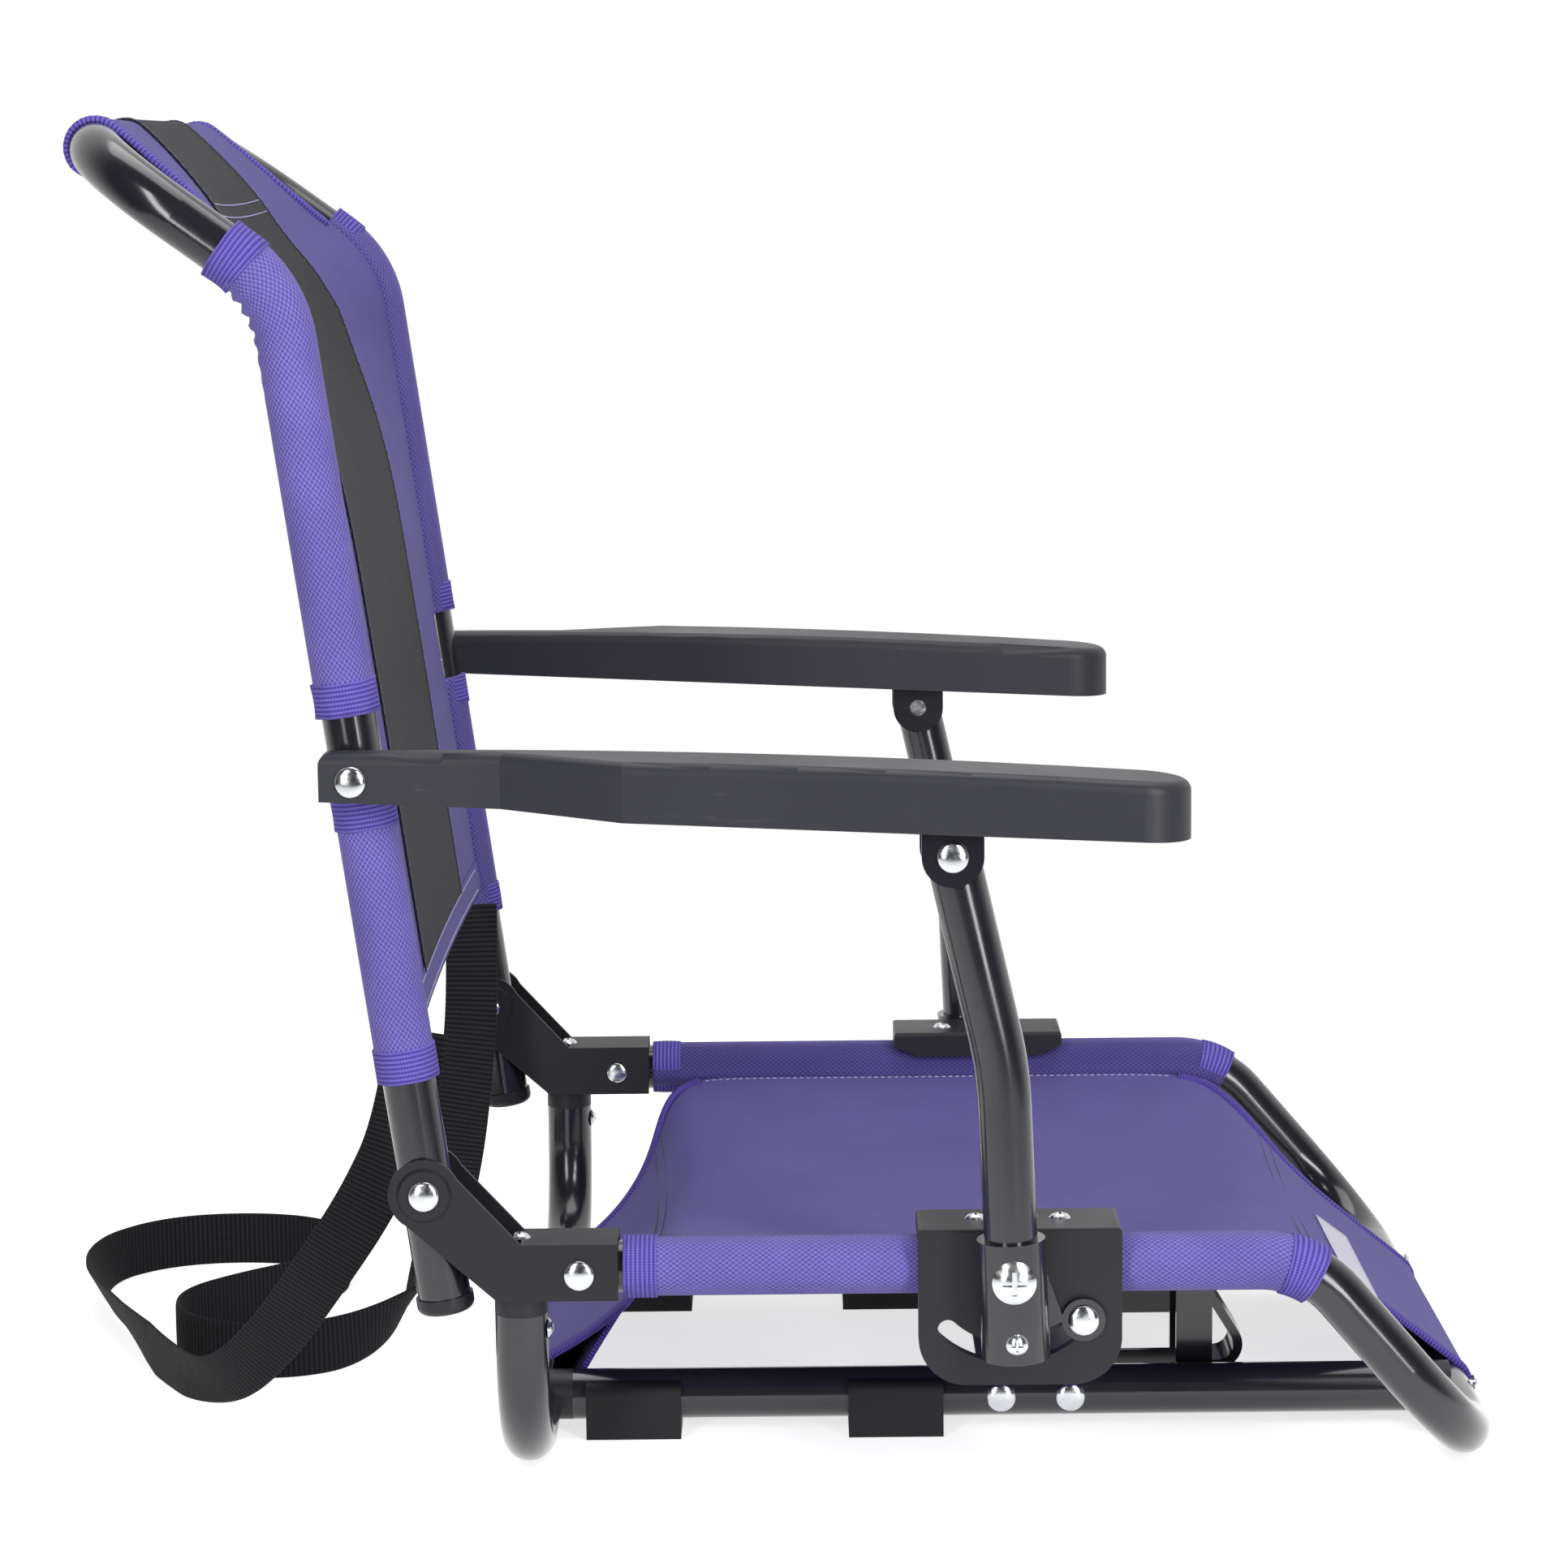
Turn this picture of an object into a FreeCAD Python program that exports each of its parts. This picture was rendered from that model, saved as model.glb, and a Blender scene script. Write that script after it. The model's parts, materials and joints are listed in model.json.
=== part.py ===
import FreeCAD, Part
import math
import os

# Folding stadium seat: bent tube frame, woven slings on sleeves, moulded arms on a parallel four-bar,
# slotted side brackets, runners with grip pads, bench hooks and a carry strap.
# X runs from the back rest to the front, Y to the sitter's left, Z up from the floor. Sizes in millimetres.

V = FreeCAD.Vector
X_AXIS = V(1, 0, 0)
Y_AXIS = V(0, 1, 0)
Z_AXIS = V(0, 0, 1)
EDGE_TOLERANCE = 0.1

# Tubes
tube_od = 22.0
tube_wall = 1.5
track = 376.0

# Seat frame tube: side rails, front slopes and front cross bar
rail_height = 99.0
rail_rear = -9.0
slope_vertex_x = 328.0
slope_angle = 49.5
rail_bend = 45.0
front_corner = 50.0
cross_height = 13.2

# Rear leg tube
leg_top = 80.0
leg_corner = 50.0

# Runners, plugs and grip pads
runner_track = 200.0
runner_height = 17.0
plug_length = 16.0
plug_spigot = 14.0
pad_length = 41.5
pad_starts = (22.0, 137.0)
pad_width = 27.0
pad_top = 25.0

# Four-bar pivots, measured from the rear leg and the floor
back_pivot_x = -38.2
back_pivot_z = 133.5
link_rise = 175.0
link_lean = 24.0
link_reach = 241.2
link_drop = 30.0

# Back tube
back_tail = 46.0
back_vertex_z = 505.0
back_upper_angle = 36.0
back_upper_length = 96.0
back_bend = 50.0
back_corner = 46.0
cap_length = 7.0
cap_rim = 1.0

# Woven slings
cloth = 1.3
cloth_gap = 0.2
cloth_drop = 3.0
cloth_forward = 4.0
seat_sag = 9.0
back_sag = 3.0
panel_half = 96.0
panel_top_half = 68.0
seam_gap = 0.3
loop_side_gap = 0.5
back_tongue_half = 150.0
back_hem_low = 60.0
back_hem_height = 15.0
seat_sleeve_rear = 43.0
seat_sleeve_turn = 32.0
back_sleeve_bottom = 47.0
back_sleeve_reach = 28.0
arm_gap_below = 9.0
arm_gap_above = 24.0
arm_notch = 11.0
wrap_step = 30.0
loop_climb = 31.0
loop_wrap_start = -30.0
loop_seam_back = 8.0
loop_seam_drop = 46.0
tongue_fall = 45.0
tongue_wrap_end = -140.0
tongue_seam_back = 33.0
tongue_seam_rise = 37.0
tongue_seam_climb = 130.0
seat_flat_start = 42.0
seat_flat_end = 29.0
seat_sag_middle = 11.0
top_wrap = 175.0
top_fold_reach = 53.0
top_fold_rise = 8.3
top_seam_reach = 48.0
top_seam_drop = 6.6

# Narrowing ends of the seat cloth. Each row: distance past the sleeve's rear end or the rail's bend,
# drop below the flat, climb in degrees, share of the way to full width, share of the sag
loop_rows = (
    (-27.0, 59.0, 31.0, 0.07, 0.0), (-10.0, 44.0, 45.0, 0.20, 0.1), (1.0, 28.0, 55.0, 0.49, 0.6),
    (5.0, 12.0, 60.0, 0.80, 1.4), (15.0, 1.0, 35.0, 1.0, 1.2),
)
tongue_rows = (
    (0.0, 0.3, -10.0, 1.0, 1.0), (19.0, 4.5, -24.0, 0.95, 0.9), (34.0, 16.0, -40.0, 0.58, 0.5),
    (45.0, 28.0, -45.0, 0.25, 0.2), (59.0, 40.0, -45.0, 0.07, 0.0),
)

# Arms
arm_wall = 3.0
arm_front = 96.0
arm_rear = 13.0
arm_crown = 3.0
tongue_width = 15.0
tongue_length = 60.0
flare_length = 50.0
arm_below_rear = 8.0
arm_above_rear = 11.5
arm_above_clevis = 7.0
arm_depth_front = 25.3

# Clevis under each arm
clevis_width = 25.0
clevis_sheet = 2.0
clevis_gap = 0.6

# Arm support tube, its lower sleeve and guide
support_bow = 8.0
support_bow_drop = 91.0
support_bend = 160.0
support_tail = 35.0
sleeve_od = 28.0
sleeve_above = 15.0
sleeve_screw_rise = 9.0
flange_sheet = 2.0
support_gap = 0.8
guide_radius = 38.0
guide_angle = 38.0
guide_pin = 3.5
slot_clearance = 0.7
guide_web = 9.0
fold_angle = 95.0

# Slot bracket on each rail
slot_bracket_rear = 38.0
slot_bracket_front = 46.0
slot_bracket_base = 52.0
slot_bracket_corner = 20.0
slot_plate = 6.0
slot_cap = 6.5
slot_lip = 3.0
slot_lip_drop = 12.0
bracket_screw_pitch = 35.0

# Hinge bracket at the foot of the back
hinge_sheet = 2.0
hinge_gap = 0.5
hinge_ear = 15.0
hinge_boss = 11.5
hinge_boss_rise = 1.2
hinge_front = 41.0
hinge_top_start = 1.0
hinge_rivet_x = 25.0

# Rivets and screws
rivet_head = 6.4
rivet_dome = 3.2
rivet_shank = 4.0
small_rivet_shank = 3.0
running_gap = 0.1
open_pivot_gap = 0.5
screw_head = 4.5
screw_dome = 2.4
screw_shank = 2.2
screw_bite = 3.0
recess_reach = 0.55
recess_width = 0.11
recess_floor = 0.45
pivot_screw_head = 9.0
pivot_screw_dome = 3.0
washer_radius = 9.0
washer_thickness = 3.0
leg_screw_drop = 7.0
leg_screw_length = 6.0

# Hook bar and bench hooks between the runners
hook_bar_width = 50.0
hook_bar_sheet = 2.5
hook_bar_centre = 219.0
hook_rivet_pitch = 30.3
hook_pivot_x = 291.0
hook_pivot_z = 60.0
hook_offset = 66.0
hook_width = 25.0
hook_sheet = 4.0
hook_rod = 4.0
hook_eye = 8.0
hook_side_gap = 1.5
hook_reach = 27.0
hook_foot = 21.0
hook_shank_bend = 12.0
hook_foot_bend = 9.0
hook_shank_lean = 2.0
hook_shank_drop = 8.0
hook_toe = 3.0
lug_sheet = 3.0
lug_root = 18.0
lug_low = 8.0
lug_rail = 12.0

# Carry strap, laid on its edge behind the seat
strap_width = 26.0
strap_thickness = 2.2
strap_drop = 1.2
strap_arc_share = 0.45

tube_r = tube_od / 2
half_track = track / 2
half_runner = runner_track / 2
lean = math.atan2(link_lean, link_rise)
sleeve_inner = tube_r + cloth_gap
sleeve_outer = sleeve_inner + cloth
front_cross_x = slope_vertex_x + (rail_height - cross_height) / math.tan(math.radians(slope_angle))
PIVOT_A = V(back_pivot_x, 0, back_pivot_z)
PIVOT_B = PIVOT_A + V(-link_lean, 0, link_rise)
PIVOT_D = PIVOT_A + V(link_reach, 0, -link_drop)
PIVOT_C = PIVOT_D + V(-link_lean, 0, link_rise)
plate_inner = half_track + sleeve_outer + cloth_gap
plate_outer = plate_inner + slot_plate
half_arm = plate_outer + support_gap + sleeve_od / 2
arm_track = half_arm * 2
tongue_inner = half_track + tube_r + washer_thickness
arm_width = (half_arm - tongue_inner) * 2
parts = {}


def on_side(point, y):
    return V(point.x, y, point.z)


def filleted_path(points, radii):
    """A wire of straight runs joined by tangent arcs, one radius for each inner corner."""
    edges = []
    start = points[0]
    for before, corner, after, radius in zip(points, points[1:], points[2:], radii):
        back = (before - corner).normalize()
        ahead = (after - corner).normalize()
        half = math.acos(max(-1.0, min(1.0, back.dot(ahead)))) / 2
        reach = radius / math.tan(half)
        inward = (back + ahead).normalize()
        middle = corner + inward * (radius / math.sin(half) - radius)
        arc_start = corner + back * reach
        arc_end = corner + ahead * reach
        edges.append(Part.LineSegment(start, arc_start).toShape())
        edges.append(Part.Arc(arc_start, middle, arc_end).toShape())
        start = arc_end
    edges.append(Part.LineSegment(start, points[-1]).toShape())
    return Part.Wire(edges)


def swept_rod(wire, radius):
    """A round bar along a wire."""
    first = wire.Edges[0]
    origin = first.valueAt(first.FirstParameter)
    direction = first.tangentAt(first.FirstParameter)
    ring = Part.Wire(Part.makeCircle(radius, origin, direction))
    return wire.makePipeShell([ring], True, False)


def swept_tube(wire, outer, wall):
    return swept_rod(wire, outer).cut(swept_rod(wire, outer - wall))


def swept_band(wire, width, thickness, width_direction):
    """A flat band along a wire, its width starting along width_direction."""
    first = wire.Edges[0]
    origin = first.valueAt(first.FirstParameter)
    travel = first.tangentAt(first.FirstParameter)
    across = width_direction.normalize() * (width / 2)
    through = travel.cross(across).normalize() * (thickness / 2)
    corners = [across + through, across - through, -across - through, -across + through]
    ring = Part.makePolygon([origin + corner for corner in corners + corners[:1]])
    return wire.makePipeShell([ring], True, False)


def rod_y(centre, y_from, y_to, radius):
    low = min(y_from, y_to)
    return Part.makeCylinder(radius, abs(y_to - y_from), on_side(centre, low), Y_AXIS)


def dome(base, direction, radius, rise):
    """A shallow round head: a ball's cap on a base point."""
    ball = (radius * radius + rise * rise) / (2 * rise)
    cap = Part.makeSphere(ball, base - direction * (ball - rise))
    return cap.common(Part.makeCylinder(radius, rise, base, direction))


def rivet_y(centre, y_from, y_to, shank, head, rise):
    """A rivet along Y with a dome at both ends."""
    body = rod_y(centre, y_from, y_to, shank)
    far_dome = dome(on_side(centre, max(y_from, y_to)), Y_AXIS, head, rise)
    near_dome = dome(on_side(centre, min(y_from, y_to)), -Y_AXIS, head, rise)
    return body.fuse([far_dome, near_dome]).removeSplitter()


def cross_screw(base, direction, length, shank, head, rise):
    """A dome-head screw with a cross recess, its shank running back from the base."""
    body = Part.makeCylinder(shank, length, base - direction * length, direction)
    body = body.fuse(dome(base, direction, head, rise))
    side = direction.cross(X_AXIS if abs(direction.x) < 0.5 else Z_AXIS).normalize()
    top = direction.cross(side)
    for along, across in ((side, top), (top, side)):
        a = along * (head * recess_reach)
        b = across * (head * recess_width)
        low = base + direction * (rise * recess_floor)
        ring = Part.makePolygon([low + a + b, low + a - b, low - a - b, low - a + b, low + a + b])
        body = body.cut(Part.Face(ring).extrude(direction * rise))
    return body


def face_xz(points, y):
    """A flat face in an XZ plane from (x, z) pairs."""
    ring = [V(x, y, z) for x, z in points]
    return Part.Face(Part.makePolygon(ring + ring[:1]))


def block(x0, x1, y0, y1, z0, z1):
    return Part.makeBox(x1 - x0, y1 - y0, z1 - z0, V(x0, y0, z0))


def mirrored(shape):
    return shape.mirror(V(0, 0, 0), Y_AXIS)


def add_pair(name, left):
    """One piece on the sitter's left and its mirror on the right."""
    parts["left_" + name] = left
    parts["right_" + name] = mirrored(left)


def add_group(name, solids):
    """Like fasteners on both sides, kept as separate solids of one node."""
    parts[name] = Part.Compound(solids + [mirrored(solid) for solid in solids])


def back_point(distance):
    """A point of the back tube's lower straight, measured up from the back pivot."""
    return PIVOT_A + V(-math.sin(lean), 0, math.cos(lean)) * distance


# Routes of the bent tubes
slope = math.radians(slope_angle)
seat_left = [
    V(rail_rear, half_track, rail_height),
    V(slope_vertex_x, half_track, rail_height),
    V(front_cross_x, half_track, cross_height),
]
seat_route = seat_left + [V(point.x, -point.y, point.z) for point in reversed(seat_left)]
seat_wire = filleted_path(seat_route, [rail_bend, front_corner, front_corner, rail_bend])

leg_left = [V(0, half_track, leg_top), V(0, half_track, cross_height)]
leg_route = leg_left + [V(0, -half_track, cross_height), V(0, -half_track, leg_top)]
leg_wire = filleted_path(leg_route, [leg_corner, leg_corner])

back_vertex_distance = (back_vertex_z - back_pivot_z) / math.cos(lean)
back_vertex = back_point(back_vertex_distance)
upper = math.radians(back_upper_angle)
upper_direction = V(-math.cos(upper), 0, math.sin(upper))
back_top = back_vertex + upper_direction * back_upper_length
back_left = [on_side(point, half_track) for point in (back_point(-back_tail), back_vertex, back_top)]
back_route = back_left + [V(point.x, -point.y, point.z) for point in reversed(back_left)]
back_wire = filleted_path(back_route, [back_bend, back_corner, back_corner, back_bend])

# Holes that the fasteners need
hinge_inner = tube_r + hinge_gap
hinge_outer = hinge_inner + hinge_sheet
rail_top = rail_height + tube_r
cap_under = rail_height + sleeve_outer + cloth_gap
cap_top = cap_under + slot_cap
bracket_x0 = PIVOT_D.x - slot_bracket_rear
bracket_x1 = PIVOT_D.x + slot_bracket_front
bracket_middle = (bracket_x0 + bracket_x1) / 2
screw_spots = [bracket_middle - bracket_screw_pitch / 2, bracket_middle + bracket_screw_pitch / 2]
screw_foot = rail_top - tube_wall - screw_bite
screw_length = cap_top - screw_foot
hinge_rivet_spot = V(hinge_rivet_x, 0, rail_height)
pivot_foot = half_track + tube_r - tube_wall - screw_bite
pivot_head_y = half_arm + sleeve_od / 2 + running_gap
hinge_top = rail_top + hinge_sheet
hinge_screw_foot = leg_top - plug_spigot / 2
hook_rivets = [V(hook_bar_centre + s * hook_rivet_pitch / 2, 0, runner_height) for s in (-1, 1)]


def both_sides(tool):
    return [tool, mirrored(tool)]


pivot_hole = rod_y(PIVOT_D, pivot_foot - tube_r, pivot_head_y, rivet_shank)
hinge_hole = rod_y(hinge_rivet_spot, half_track - hinge_outer, half_track + hinge_outer, small_rivet_shank)
hinge_screw_hole = Part.makeCylinder(
    screw_shank, hinge_top - hinge_screw_foot, V(0, half_track, hinge_screw_foot), Z_AXIS
)
cap_screw_holes = [
    Part.makeCylinder(screw_shank, screw_length, V(x, half_track, screw_foot), Z_AXIS) for x in screw_spots
]

# Seat frame tube and rear leg tube
seat_tools = []
for tool in [pivot_hole, hinge_hole, hinge_screw_hole] + cap_screw_holes:
    seat_tools += both_sides(tool)
runner_screw_hole = Part.makeCylinder(
    screw_shank, tube_od * 2, V(-tube_od, half_runner, runner_height), X_AXIS
)
front_screw_hole = runner_screw_hole.translated(V(front_cross_x, 0, 0))
leg_screw_foot = V(tube_r - leg_screw_length, half_track, leg_top - leg_screw_drop)
leg_screw_hole = Part.makeCylinder(screw_shank, leg_screw_length, leg_screw_foot, X_AXIS)
parts["seat_frame_tube"] = swept_tube(seat_wire, tube_r, tube_wall).cut(
    seat_tools + both_sides(front_screw_hole)
)
parts["rear_leg_tube"] = swept_tube(leg_wire, tube_r, tube_wall).cut(
    both_sides(runner_screw_hole) + both_sides(leg_screw_hole)
)

# Runners with moulded end plugs that saddle the cross bars
runner_x0 = plug_length
runner_x1 = front_cross_x - plug_length
runner = Part.makeCylinder(tube_r, runner_x1 - runner_x0, V(runner_x0, half_runner, runner_height), X_AXIS)
runner_bore = Part.makeCylinder(
    tube_r - tube_wall, runner_x1 - runner_x0, V(runner_x0, half_runner, runner_height), X_AXIS
)
runner_holes = [
    rod_y(spot, half_runner - tube_od, half_runner + tube_od, small_rivet_shank) for spot in hook_rivets
]
add_pair("runner_tube", runner.cut([runner_bore] + runner_holes))


def runner_plug(outer_end, inner_end, cross_x):
    """Plug body between the cross bar and the runner, with a spigot inside the runner."""
    step = math.copysign(1.0, inner_end - outer_end)
    direction = X_AXIS * step
    seat = V(outer_end, half_runner, runner_height)
    body = Part.makeCylinder(tube_r, abs(inner_end - outer_end), seat, direction)
    spigot_start = V(inner_end, half_runner, runner_height)
    spigot = Part.makeCylinder(tube_r - tube_wall, plug_spigot, spigot_start, direction)
    cross_bar = rod_y(V(cross_x, 0, cross_height), 0, track, tube_r)
    screw_way = Part.makeCylinder(screw_shank, tube_od * 2, seat - X_AXIS * tube_od, X_AXIS)
    return body.fuse(spigot).cut([cross_bar, screw_way])


add_pair(
    "runner_plugs",
    Part.Compound([runner_plug(0, runner_x0, 0), runner_plug(front_cross_x, runner_x1, front_cross_x)]),
)

pads = []
for pad_start in pad_starts:
    pad_y0 = half_runner - pad_width / 2
    pad = block(pad_start, pad_start + pad_length, pad_y0, pad_y0 + pad_width, 0, pad_top)
    upper_edges = [
        edge for edge in pad.Edges
        if edge.BoundBox.ZMin > pad_top - EDGE_TOLERANCE and edge.BoundBox.XLength > pad_length / 2
    ]
    pad = pad.makeFillet(pad_width / 5, upper_edges)
    pads.append(pad.cut(runner))
add_pair("grip_pads", Part.Compound(pads))

runner_screws = [
    cross_screw(V(x, half_runner, runner_height), direction, tube_od, screw_shank, screw_head, screw_dome)
    for x, direction in ((-tube_r, -X_AXIS), (front_cross_x + tube_r, X_AXIS))
]
add_group("runner_screws", runner_screws)

# Moulded saddle between each leg and its rail
saddle = Part.makeCylinder(tube_r, rail_height - leg_top, V(0, half_track, leg_top), Z_AXIS)
saddle_spigot = Part.makeCylinder(
    tube_r - tube_wall, plug_spigot, V(0, half_track, leg_top - plug_spigot), Z_AXIS
)
rail_bar = Part.makeCylinder(tube_r, track, V(-tube_od, half_track, rail_height), X_AXIS)
saddle = saddle.fuse(saddle_spigot).cut([rail_bar, hinge_screw_hole, leg_screw_hole])
add_pair("leg_saddle", saddle.removeSplitter())
add_group("leg_screws", [
    cross_screw(
        V(tube_r, half_track, leg_top - leg_screw_drop), X_AXIS, leg_screw_length,
        screw_shank, screw_head, screw_dome,
    )
])

# Pressed hinge bracket: two ears for the back tube and a roof over the rail
plate_low = rail_height - tube_r
ear_direction = V(hinge_front / 2 - PIVOT_A.x, 0, rail_height - PIVOT_A.z).normalize()
ear_side = V(-ear_direction.z, 0, ear_direction.x) * hinge_ear
ear_upper = PIVOT_A + ear_side
ear_lower = PIVOT_A - ear_side
hinge_outline = [
    (ear_upper.x, ear_upper.z), (hinge_top_start, hinge_top), (hinge_front, hinge_top),
    (hinge_front, plate_low), (rail_rear, plate_low), (ear_lower.x, ear_lower.z),
]
hinge_plates = []
for inner, outer, press in ((hinge_inner, hinge_outer, 1), (-hinge_inner, -hinge_outer, -1)):
    y_low = half_track + min(inner, outer)
    plate = face_xz(hinge_outline, y_low).extrude(Y_AXIS * hinge_sheet)
    plate = plate.fuse(rod_y(PIVOT_A, half_track + inner, half_track + outer, hinge_ear))
    boss_base = on_side(PIVOT_A, half_track + outer)
    boss = Part.makeCone(
        hinge_boss, hinge_boss - hinge_boss_rise, hinge_boss_rise, boss_base, Y_AXIS * press
    )
    hinge_plates.append(plate.fuse(boss))
roof = block(
    hinge_top_start, hinge_front, half_track - hinge_outer, half_track + hinge_outer, rail_top, hinge_top
)
hinge_face = half_track + hinge_outer + hinge_boss_rise
hinge_pin_hole = rod_y(PIVOT_A, 2 * half_track - hinge_face, hinge_face, rivet_shank)
bracket = hinge_plates[0].fuse([hinge_plates[1], roof]).removeSplitter()
add_pair("hinge_bracket", bracket.cut([hinge_pin_hole, hinge_hole, hinge_screw_hole]))
add_group("hinge_rivets", [
    rivet_y(hinge_rivet_spot, half_track - hinge_outer, half_track + hinge_outer,
            small_rivet_shank, rivet_head, rivet_dome)
])
add_group("hinge_screws", [
    cross_screw(V(0, half_track, hinge_top), Z_AXIS, hinge_top - hinge_screw_foot,
                screw_shank, screw_head, screw_dome)
])
add_group("back_pivot_rivets", [
    rivet_y(PIVOT_A, 2 * half_track - hinge_face, hinge_face, rivet_shank, rivet_head, rivet_dome)
])


def polar_xz(radius, degrees, y):
    """A point about the support pivot, its angle measured down from the front."""
    angle = math.radians(degrees)
    return V(PIVOT_D.x + radius * math.cos(angle), y, PIVOT_D.z - radius * math.sin(angle))


def guide_slot(y):
    """An arc slot about the support pivot, round at both ends."""
    half = guide_pin + slot_clearance
    start = guide_angle
    end = guide_angle + fold_angle
    middle = (start + end) / 2
    cap = math.degrees(half / guide_radius)
    edges = [
        Part.Arc(polar_xz(guide_radius + half, start, y), polar_xz(guide_radius + half, middle, y),
                 polar_xz(guide_radius + half, end, y)).toShape(),
        Part.Arc(polar_xz(guide_radius + half, end, y), polar_xz(guide_radius, end + cap, y),
                 polar_xz(guide_radius - half, end, y)).toShape(),
        Part.Arc(polar_xz(guide_radius - half, end, y), polar_xz(guide_radius - half, middle, y),
                 polar_xz(guide_radius - half, start, y)).toShape(),
        Part.Arc(polar_xz(guide_radius - half, start, y), polar_xz(guide_radius, start - cap, y),
                 polar_xz(guide_radius + half, start, y)).toShape(),
    ]
    return Part.Face(Part.Wire(edges)).extrude(Y_AXIS * slot_plate)


# Moulded slot bracket: outer plate with the guide slot, cap over the sleeved rail and a short inner lip
plate = block(bracket_x0, bracket_x1, plate_inner, plate_outer, slot_bracket_base, cap_top)
corner_edges = [
    edge for edge in plate.Edges
    if edge.BoundBox.ZMax < slot_bracket_base + EDGE_TOLERANCE and edge.BoundBox.YLength > slot_plate / 2
]
plate = plate.makeFillet(slot_bracket_corner, corner_edges)
lip_y = 2 * half_track - plate_inner
cap = block(bracket_x0, bracket_x1, lip_y - slot_lip, plate_outer, cap_under, cap_top)
lip_low = cap_top - slot_lip_drop
lip_profile = [
    (bracket_x0, cap_under), (bracket_x1, cap_under),
    (bracket_x1 - slot_lip_drop, lip_low), (bracket_x0 + slot_lip_drop, lip_low),
]
lip = face_xz(lip_profile, lip_y - slot_lip).extrude(Y_AXIS * slot_lip)
bracket = plate.fuse([cap, lip]).removeSplitter()
top_edges = [
    edge for edge in bracket.Edges
    if edge.BoundBox.ZMin > cap_top - EDGE_TOLERANCE and edge.BoundBox.ZLength < EDGE_TOLERANCE
]
bracket = bracket.makeFillet(slot_cap / 4, top_edges)
slot_bracket = bracket.cut([guide_slot(plate_inner), pivot_hole] + cap_screw_holes)
add_pair("slot_bracket", slot_bracket)
add_group("bracket_screws", [
    cross_screw(V(x, half_track, cap_top), Z_AXIS, screw_length, screw_shank, screw_head, screw_dome)
    for x in screw_spots
])
add_pair(
    "support_pivot_screw",
    cross_screw(on_side(PIVOT_D, pivot_head_y), Y_AXIS, pivot_head_y - pivot_foot,
                rivet_shank, pivot_screw_head, pivot_screw_dome),
)


# Arm support: bent tube in the clevis at the top, sleeve and guide flange at the foot
def support_piece():
    across = V(link_rise, 0, link_lean).normalize()
    bow_share = support_bow_drop / link_rise
    bow = PIVOT_C + (PIVOT_D - PIVOT_C) * bow_share + across * support_bow
    foot = PIVOT_D + (PIVOT_D - bow).normalize() * support_tail
    route = [on_side(point, half_arm) for point in (PIVOT_C, bow, foot)]
    wire = filleted_path(route, [support_bend])
    rod = swept_rod(wire, tube_r).fuse(Part.makeSphere(tube_r, route[0]))
    bore = swept_rod(wire, tube_r - tube_wall)
    tube = rod.cut(bore)
    top_hole = rod_y(PIVOT_C, half_arm - tube_od, half_arm + tube_od, rivet_shank + open_pivot_gap)
    low_hole = rod_y(PIVOT_D, half_arm - tube_od, half_arm + tube_od, rivet_shank + running_gap)
    along = (foot - PIVOT_D).normalize()
    sleeve_base = on_side(PIVOT_D - along * sleeve_above, half_arm)
    sleeve_length = support_tail + sleeve_above
    ring = Part.makeCylinder(sleeve_od / 2, sleeve_length, sleeve_base, along)
    ring = ring.cut(Part.makeCylinder(tube_r, sleeve_length, sleeve_base, along))
    flange_y = half_arm - sleeve_od / 2
    guide = polar_xz(guide_radius, guide_angle, flange_y)
    round_end = rod_y(guide, flange_y, flange_y + flange_sheet, guide_web)
    web_low = PIVOT_D + along * (support_tail - flange_sheet / 2)
    web_high = PIVOT_D + V(tube_r, 0, sleeve_above / 2)
    toward = (guide - on_side(PIVOT_D, flange_y)).normalize()
    side = V(-toward.z, 0, toward.x) * guide_web
    web = face_xz(
        [(web_high.x, web_high.z), (guide.x - side.x, guide.z - side.z),
         (guide.x + side.x, guide.z + side.z), (web_low.x, web_low.z), (PIVOT_D.x, PIVOT_D.z)],
        flange_y,
    ).extrude(Y_AXIS * flange_sheet)
    inside = Part.makeCylinder(tube_r, sleeve_length * 2, sleeve_base - along * sleeve_above, along)
    guide_hole = rod_y(guide, flange_y, flange_y + flange_sheet, guide_pin)
    screw_spot = on_side(PIVOT_D + along * (support_tail - sleeve_screw_rise), half_arm)
    screw_way = rod_y(screw_spot, half_arm, half_arm + tube_od, screw_shank)
    flanged = ring.fuse([web, round_end]).cut([inside, low_hole, guide_hole, screw_way]).removeSplitter()
    pin = rod_y(guide, plate_inner + open_pivot_gap, flange_y + flange_sheet, guide_pin)
    pin = pin.fuse(dome(on_side(guide, flange_y + flange_sheet), Y_AXIS, rivet_head, rivet_dome))
    small_base = on_side(screw_spot, half_arm + sleeve_od / 2)
    small = cross_screw(small_base, Y_AXIS, sleeve_od / 4, screw_shank, screw_head, screw_dome)
    return tube.cut([top_hole, low_hole, screw_way]), flanged, pin.removeSplitter(), small


support_tube, support_sleeve, guide_rivet, sleeve_screw = support_piece()
add_pair("support_tube", support_tube)
add_pair("support_sleeve", support_sleeve)
add_pair("guide_rivet", guide_rivet)
add_pair("sleeve_screw", sleeve_screw)


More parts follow.
